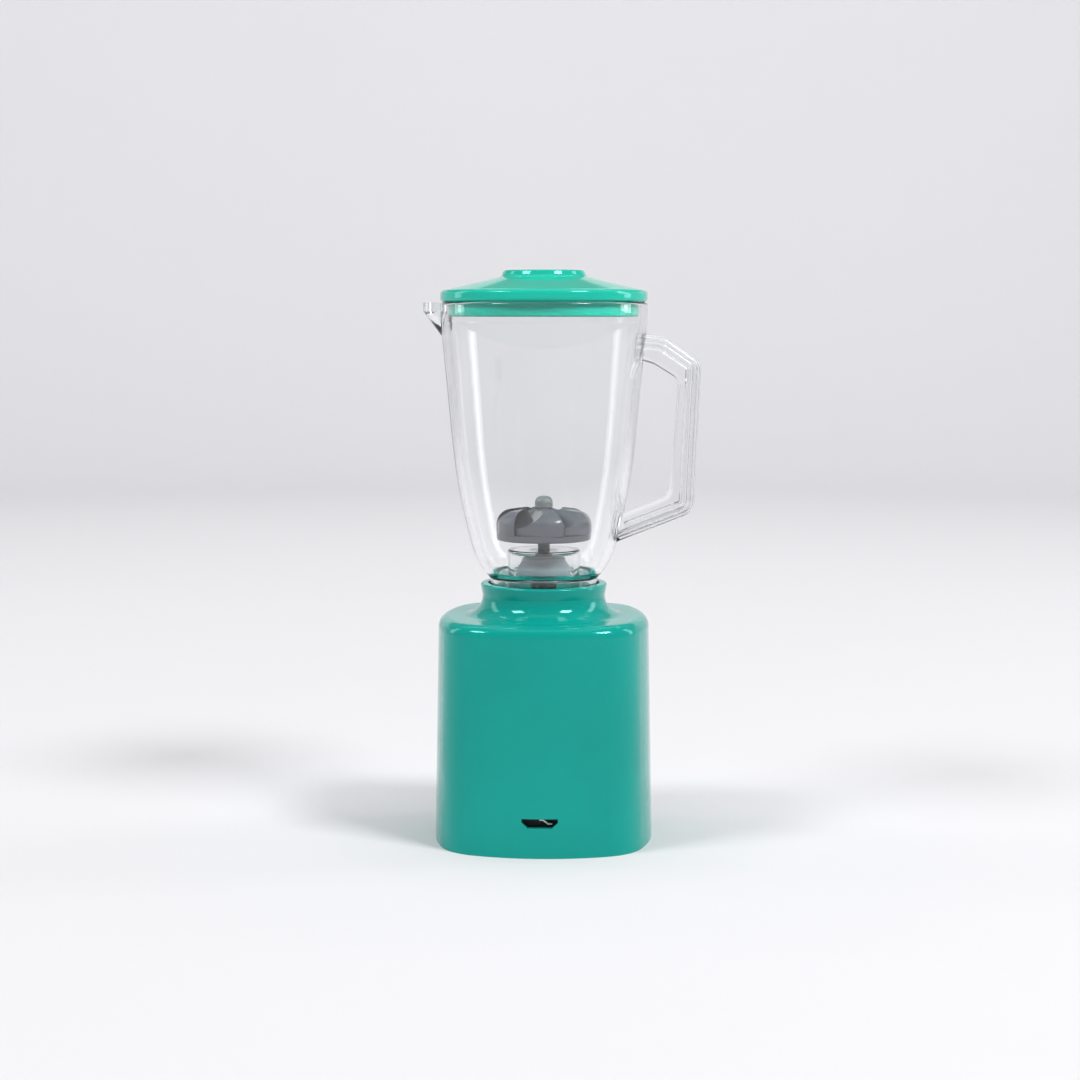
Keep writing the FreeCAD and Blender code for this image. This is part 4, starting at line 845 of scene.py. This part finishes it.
class TOYBLENDER_OT_board(bpy.types.Operator):
    """Finishes of the switch board, the switches and the parts soldered on it"""

    bl_idname = "toyblender.board"
    bl_label = "Switch board"

    def execute(self, context):
        board = Finish("fibre_board")
        fibre = board.noise(0.5, detail=4.0, along=(1.0, 1.0, 4.0))
        cloud = board.noise(6.0)
        dress(
            board.surface(
                Base_Color=board.tone(fibre * 0.7 + cloud * 0.3, *BOARD_BROWN),
                Roughness=board.spread(cloud, 0.38, 0.55),
                Normal=board.relief(fibre, 0.008),
            ),
            "switch_board",
        )
        black = matt_moulding("switch_black", SWITCH_BLACK, roughness=0.4, grain_size=0.3)
        dress(black, "switch_bodies")

        parts = Finish("component_mix")
        x, y, z = parts.axes()
        grain = parts.noise(0.3)
        resistor = (abs(x - RESISTOR_MIDDLE_X) < RESISTOR_HALF_LENGTH) * (y > RESISTOR_FROM_Y)
        band = ((x - BAND_START_X) / BAND_PITCH).fraction() < BAND_SHARE
        can = (x > CAPACITOR_FROM_X) * (z > CAPACITOR_FROM_Z)
        bare = (y < BARE_WIRE_TO_Y) * (x > BARE_WIRE_FROM_X)
        banded = parts.tone(band, parts.tone(grain, *RESISTOR_TAN), RESISTOR_BAND)
        tint = parts.tone(resistor, parts.tone(grain, *RESIN_BLACK), banded)
        tint = parts.tone(can, tint, parts.tone(grain, *CAPACITOR_BLUE))
        dress(
            parts.surface(
                Base_Color=parts.tone(bare, tint, TINNED_WIRE),
                Metallic=bare,
                Roughness=parts.spread(grain, 0.22, 0.4),
                Normal=parts.relief(grain, 0.01),
            ),
            "board_components",
        )
        return {"FINISHED"}


class TOYBLENDER_OT_leads(bpy.types.Operator):
    """Finishes of the red and black leads"""

    bl_idname = "toyblender.leads"
    bl_label = "Leads"

    def execute(self, context):
        red = gloss_moulding("lead_red", LEAD_RED, roughness=0.34, drift=0.12, peel=0.02)
        dress(red, "leads_red")
        black = gloss_moulding("lead_black", LEAD_BLACK, roughness=0.34, drift=0.15, peel=0.02)
        dress(black, "leads_black")
        return {"FINISHED"}


def rim_floor():
    """Round floor whose edge turns up into a wall in one smooth bend."""
    profile = [(FLOOR_RADIUS * share, 0.0) for share in FLOOR_RINGS]
    for step in range(BEND_STEPS + 1):
        turn = math.pi / 2 * step / BEND_STEPS
        reach = FLOOR_RADIUS + FLOOR_BEND * math.sin(turn)
        profile.append((reach, FLOOR_BEND * (1 - math.cos(turn))))
    profile.append((FLOOR_RADIUS + FLOOR_BEND, FLOOR_RIM))

    sides = FLOOR_SIDES
    corners = [(0.0, 0.0, 0.0)]
    for reach, rise in profile:
        for side in range(sides):
            angle = 2 * math.pi * side / sides
            corners.append((reach * math.cos(angle), reach * math.sin(angle), rise))
    faces = [(0, 1 + side, 1 + (side + 1) % sides) for side in range(sides)]
    for ring in range(len(profile) - 1):
        inner = 1 + ring * sides
        outer = inner + sides
        for side in range(sides):
            after = (side + 1) % sides
            faces.append((inner + side, outer + side, outer + after, inner + after))

    mesh = bpy.data.meshes.new("studio_floor")
    mesh.from_pydata(corners, [], faces)
    for face in mesh.polygons:
        face.use_smooth = True
    return mesh


def softbox(scene, name, place, aim, width, height, power):
    """Large soft rectangular light."""
    lamp = bpy.data.lights.new(name, "AREA")
    lamp.shape = "RECTANGLE"
    lamp.size = width
    lamp.size_y = height
    lamp.energy = power
    piece = bpy.data.objects.new(name, lamp)
    piece.location = place
    piece.rotation_mode = "QUATERNION"
    piece.rotation_quaternion = (Vector(aim) - Vector(place)).to_track_quat("-Z", "Y")
    scene.collection.objects.link(piece)


def even_sky(strength):
    """World that lights the scene evenly from all sides."""
    world = bpy.data.worlds.new("studio_sky")
    world.use_nodes = True
    tree = world.node_tree
    tree.nodes.clear()
    values = {"Color": (*WHITE, 1.0), "Strength": strength}
    sky = Shade(add_node(tree, "ShaderNodeBackground", values=values).outputs[0])
    add_node(tree, "ShaderNodeOutputWorld", values={"Surface": sky})
    return world


def studio_camera(studio):
    """Camera at its azimuth, elevation and distance from its target."""
    lens = bpy.data.cameras.new("camera")
    lens.sensor_width = SENSOR_WIDTH
    lens.lens = FOCAL_LENGTH
    lens.clip_start = NEAREST
    camera = bpy.data.objects.new("camera", lens)
    level = math.cos(studio.elevation)
    back = Vector(
        (
            math.sin(studio.azimuth) * level,
            -math.cos(studio.azimuth) * level,
            math.sin(studio.elevation),
        )
    )
    camera.location = Vector(studio.target) + back * studio.distance
    camera.rotation_mode = "QUATERNION"
    camera.rotation_quaternion = (-back).to_track_quat("-Z", "Y")
    return camera


class TOYBLENDER_OT_studio(bpy.types.Operator):
    """Pale floor, soft lights and the camera"""

    bl_idname = "toyblender.studio"
    bl_label = "Studio"

    def execute(self, context):
        scene = context.scene
        studio = scene.toy_blender_studio
        floor = bpy.data.objects.new("studio_floor", rim_floor())
        scene.collection.objects.link(floor)
        pale = Finish("studio_floor")
        cloud = pale.noise(300.0, detail=1.0)
        tint = tuple(studio.floor)
        floor.data.materials.append(
            pale.surface(
                Base_Color=pale.tone(cloud, shaded(tint, -0.01), shaded(tint, 0.01)),
                Roughness=0.9,
                Specular_IOR_Level=0.2,
            )
        )

        for name, place, aim, width, height, power in LAMPS:
            softbox(scene, name, place, aim, width, height, power * studio.light)
        scene.world = even_sky(SKY_STRENGTH * studio.light)

        camera = studio_camera(studio)
        scene.collection.objects.link(camera)
        scene.camera = camera
        scene.view_settings.view_transform = "Standard"
        return {"FINISHED"}


OPERATORS = (
    TOYBLENDER_OT_base,
    TOYBLENDER_OT_lid,
    TOYBLENDER_OT_jar,
    TOYBLENDER_OT_blade,
    TOYBLENDER_OT_keys,
    TOYBLENDER_OT_key_marks,
    TOYBLENDER_OT_plungers,
    TOYBLENDER_OT_chassis,
    TOYBLENDER_OT_screws,
    TOYBLENDER_OT_contacts,
    TOYBLENDER_OT_motor,
    TOYBLENDER_OT_rotor,
    TOYBLENDER_OT_drive,
    TOYBLENDER_OT_board,
    TOYBLENDER_OT_leads,
    TOYBLENDER_OT_studio,
)

GROUPS = {
    "toy_blender_finishes": BlenderFinishes,
    "toy_blender_marks": BlenderKeyMarks,
    "toy_blender_studio": BlenderStudio,
}


class TOYBLENDER_PT_sidebar(bpy.types.Panel):
    """Lists the settings and the operators"""

    bl_label = "Toy Blender"
    bl_idname = "TOYBLENDER_PT_sidebar"
    bl_space_type = "VIEW_3D"
    bl_region_type = "UI"
    bl_category = "Toy Blender"

    def draw(self, context):
        for holder in GROUPS:
            group = getattr(context.scene, holder)
            box = self.layout.box()
            for name in group.__annotations__:
                box.prop(group, name)
        for operator in OPERATORS:
            self.layout.operator(operator.bl_idname)


CLASSES = (*GROUPS.values(), *OPERATORS, TOYBLENDER_PT_sidebar)


def register():
    for kind in CLASSES:
        bpy.utils.register_class(kind)
    for name, group in GROUPS.items():
        setattr(bpy.types.Scene, name, PointerProperty(type=group))


def unregister():
    for name in GROUPS:
        delattr(bpy.types.Scene, name)
    for kind in reversed(CLASSES):
        bpy.utils.unregister_class(kind)


def main():
    register()
    for operator in OPERATORS:
        group, name = operator.bl_idname.split(".")
        getattr(getattr(bpy.ops, group), name)()


if __name__ == "__main__":
    main()
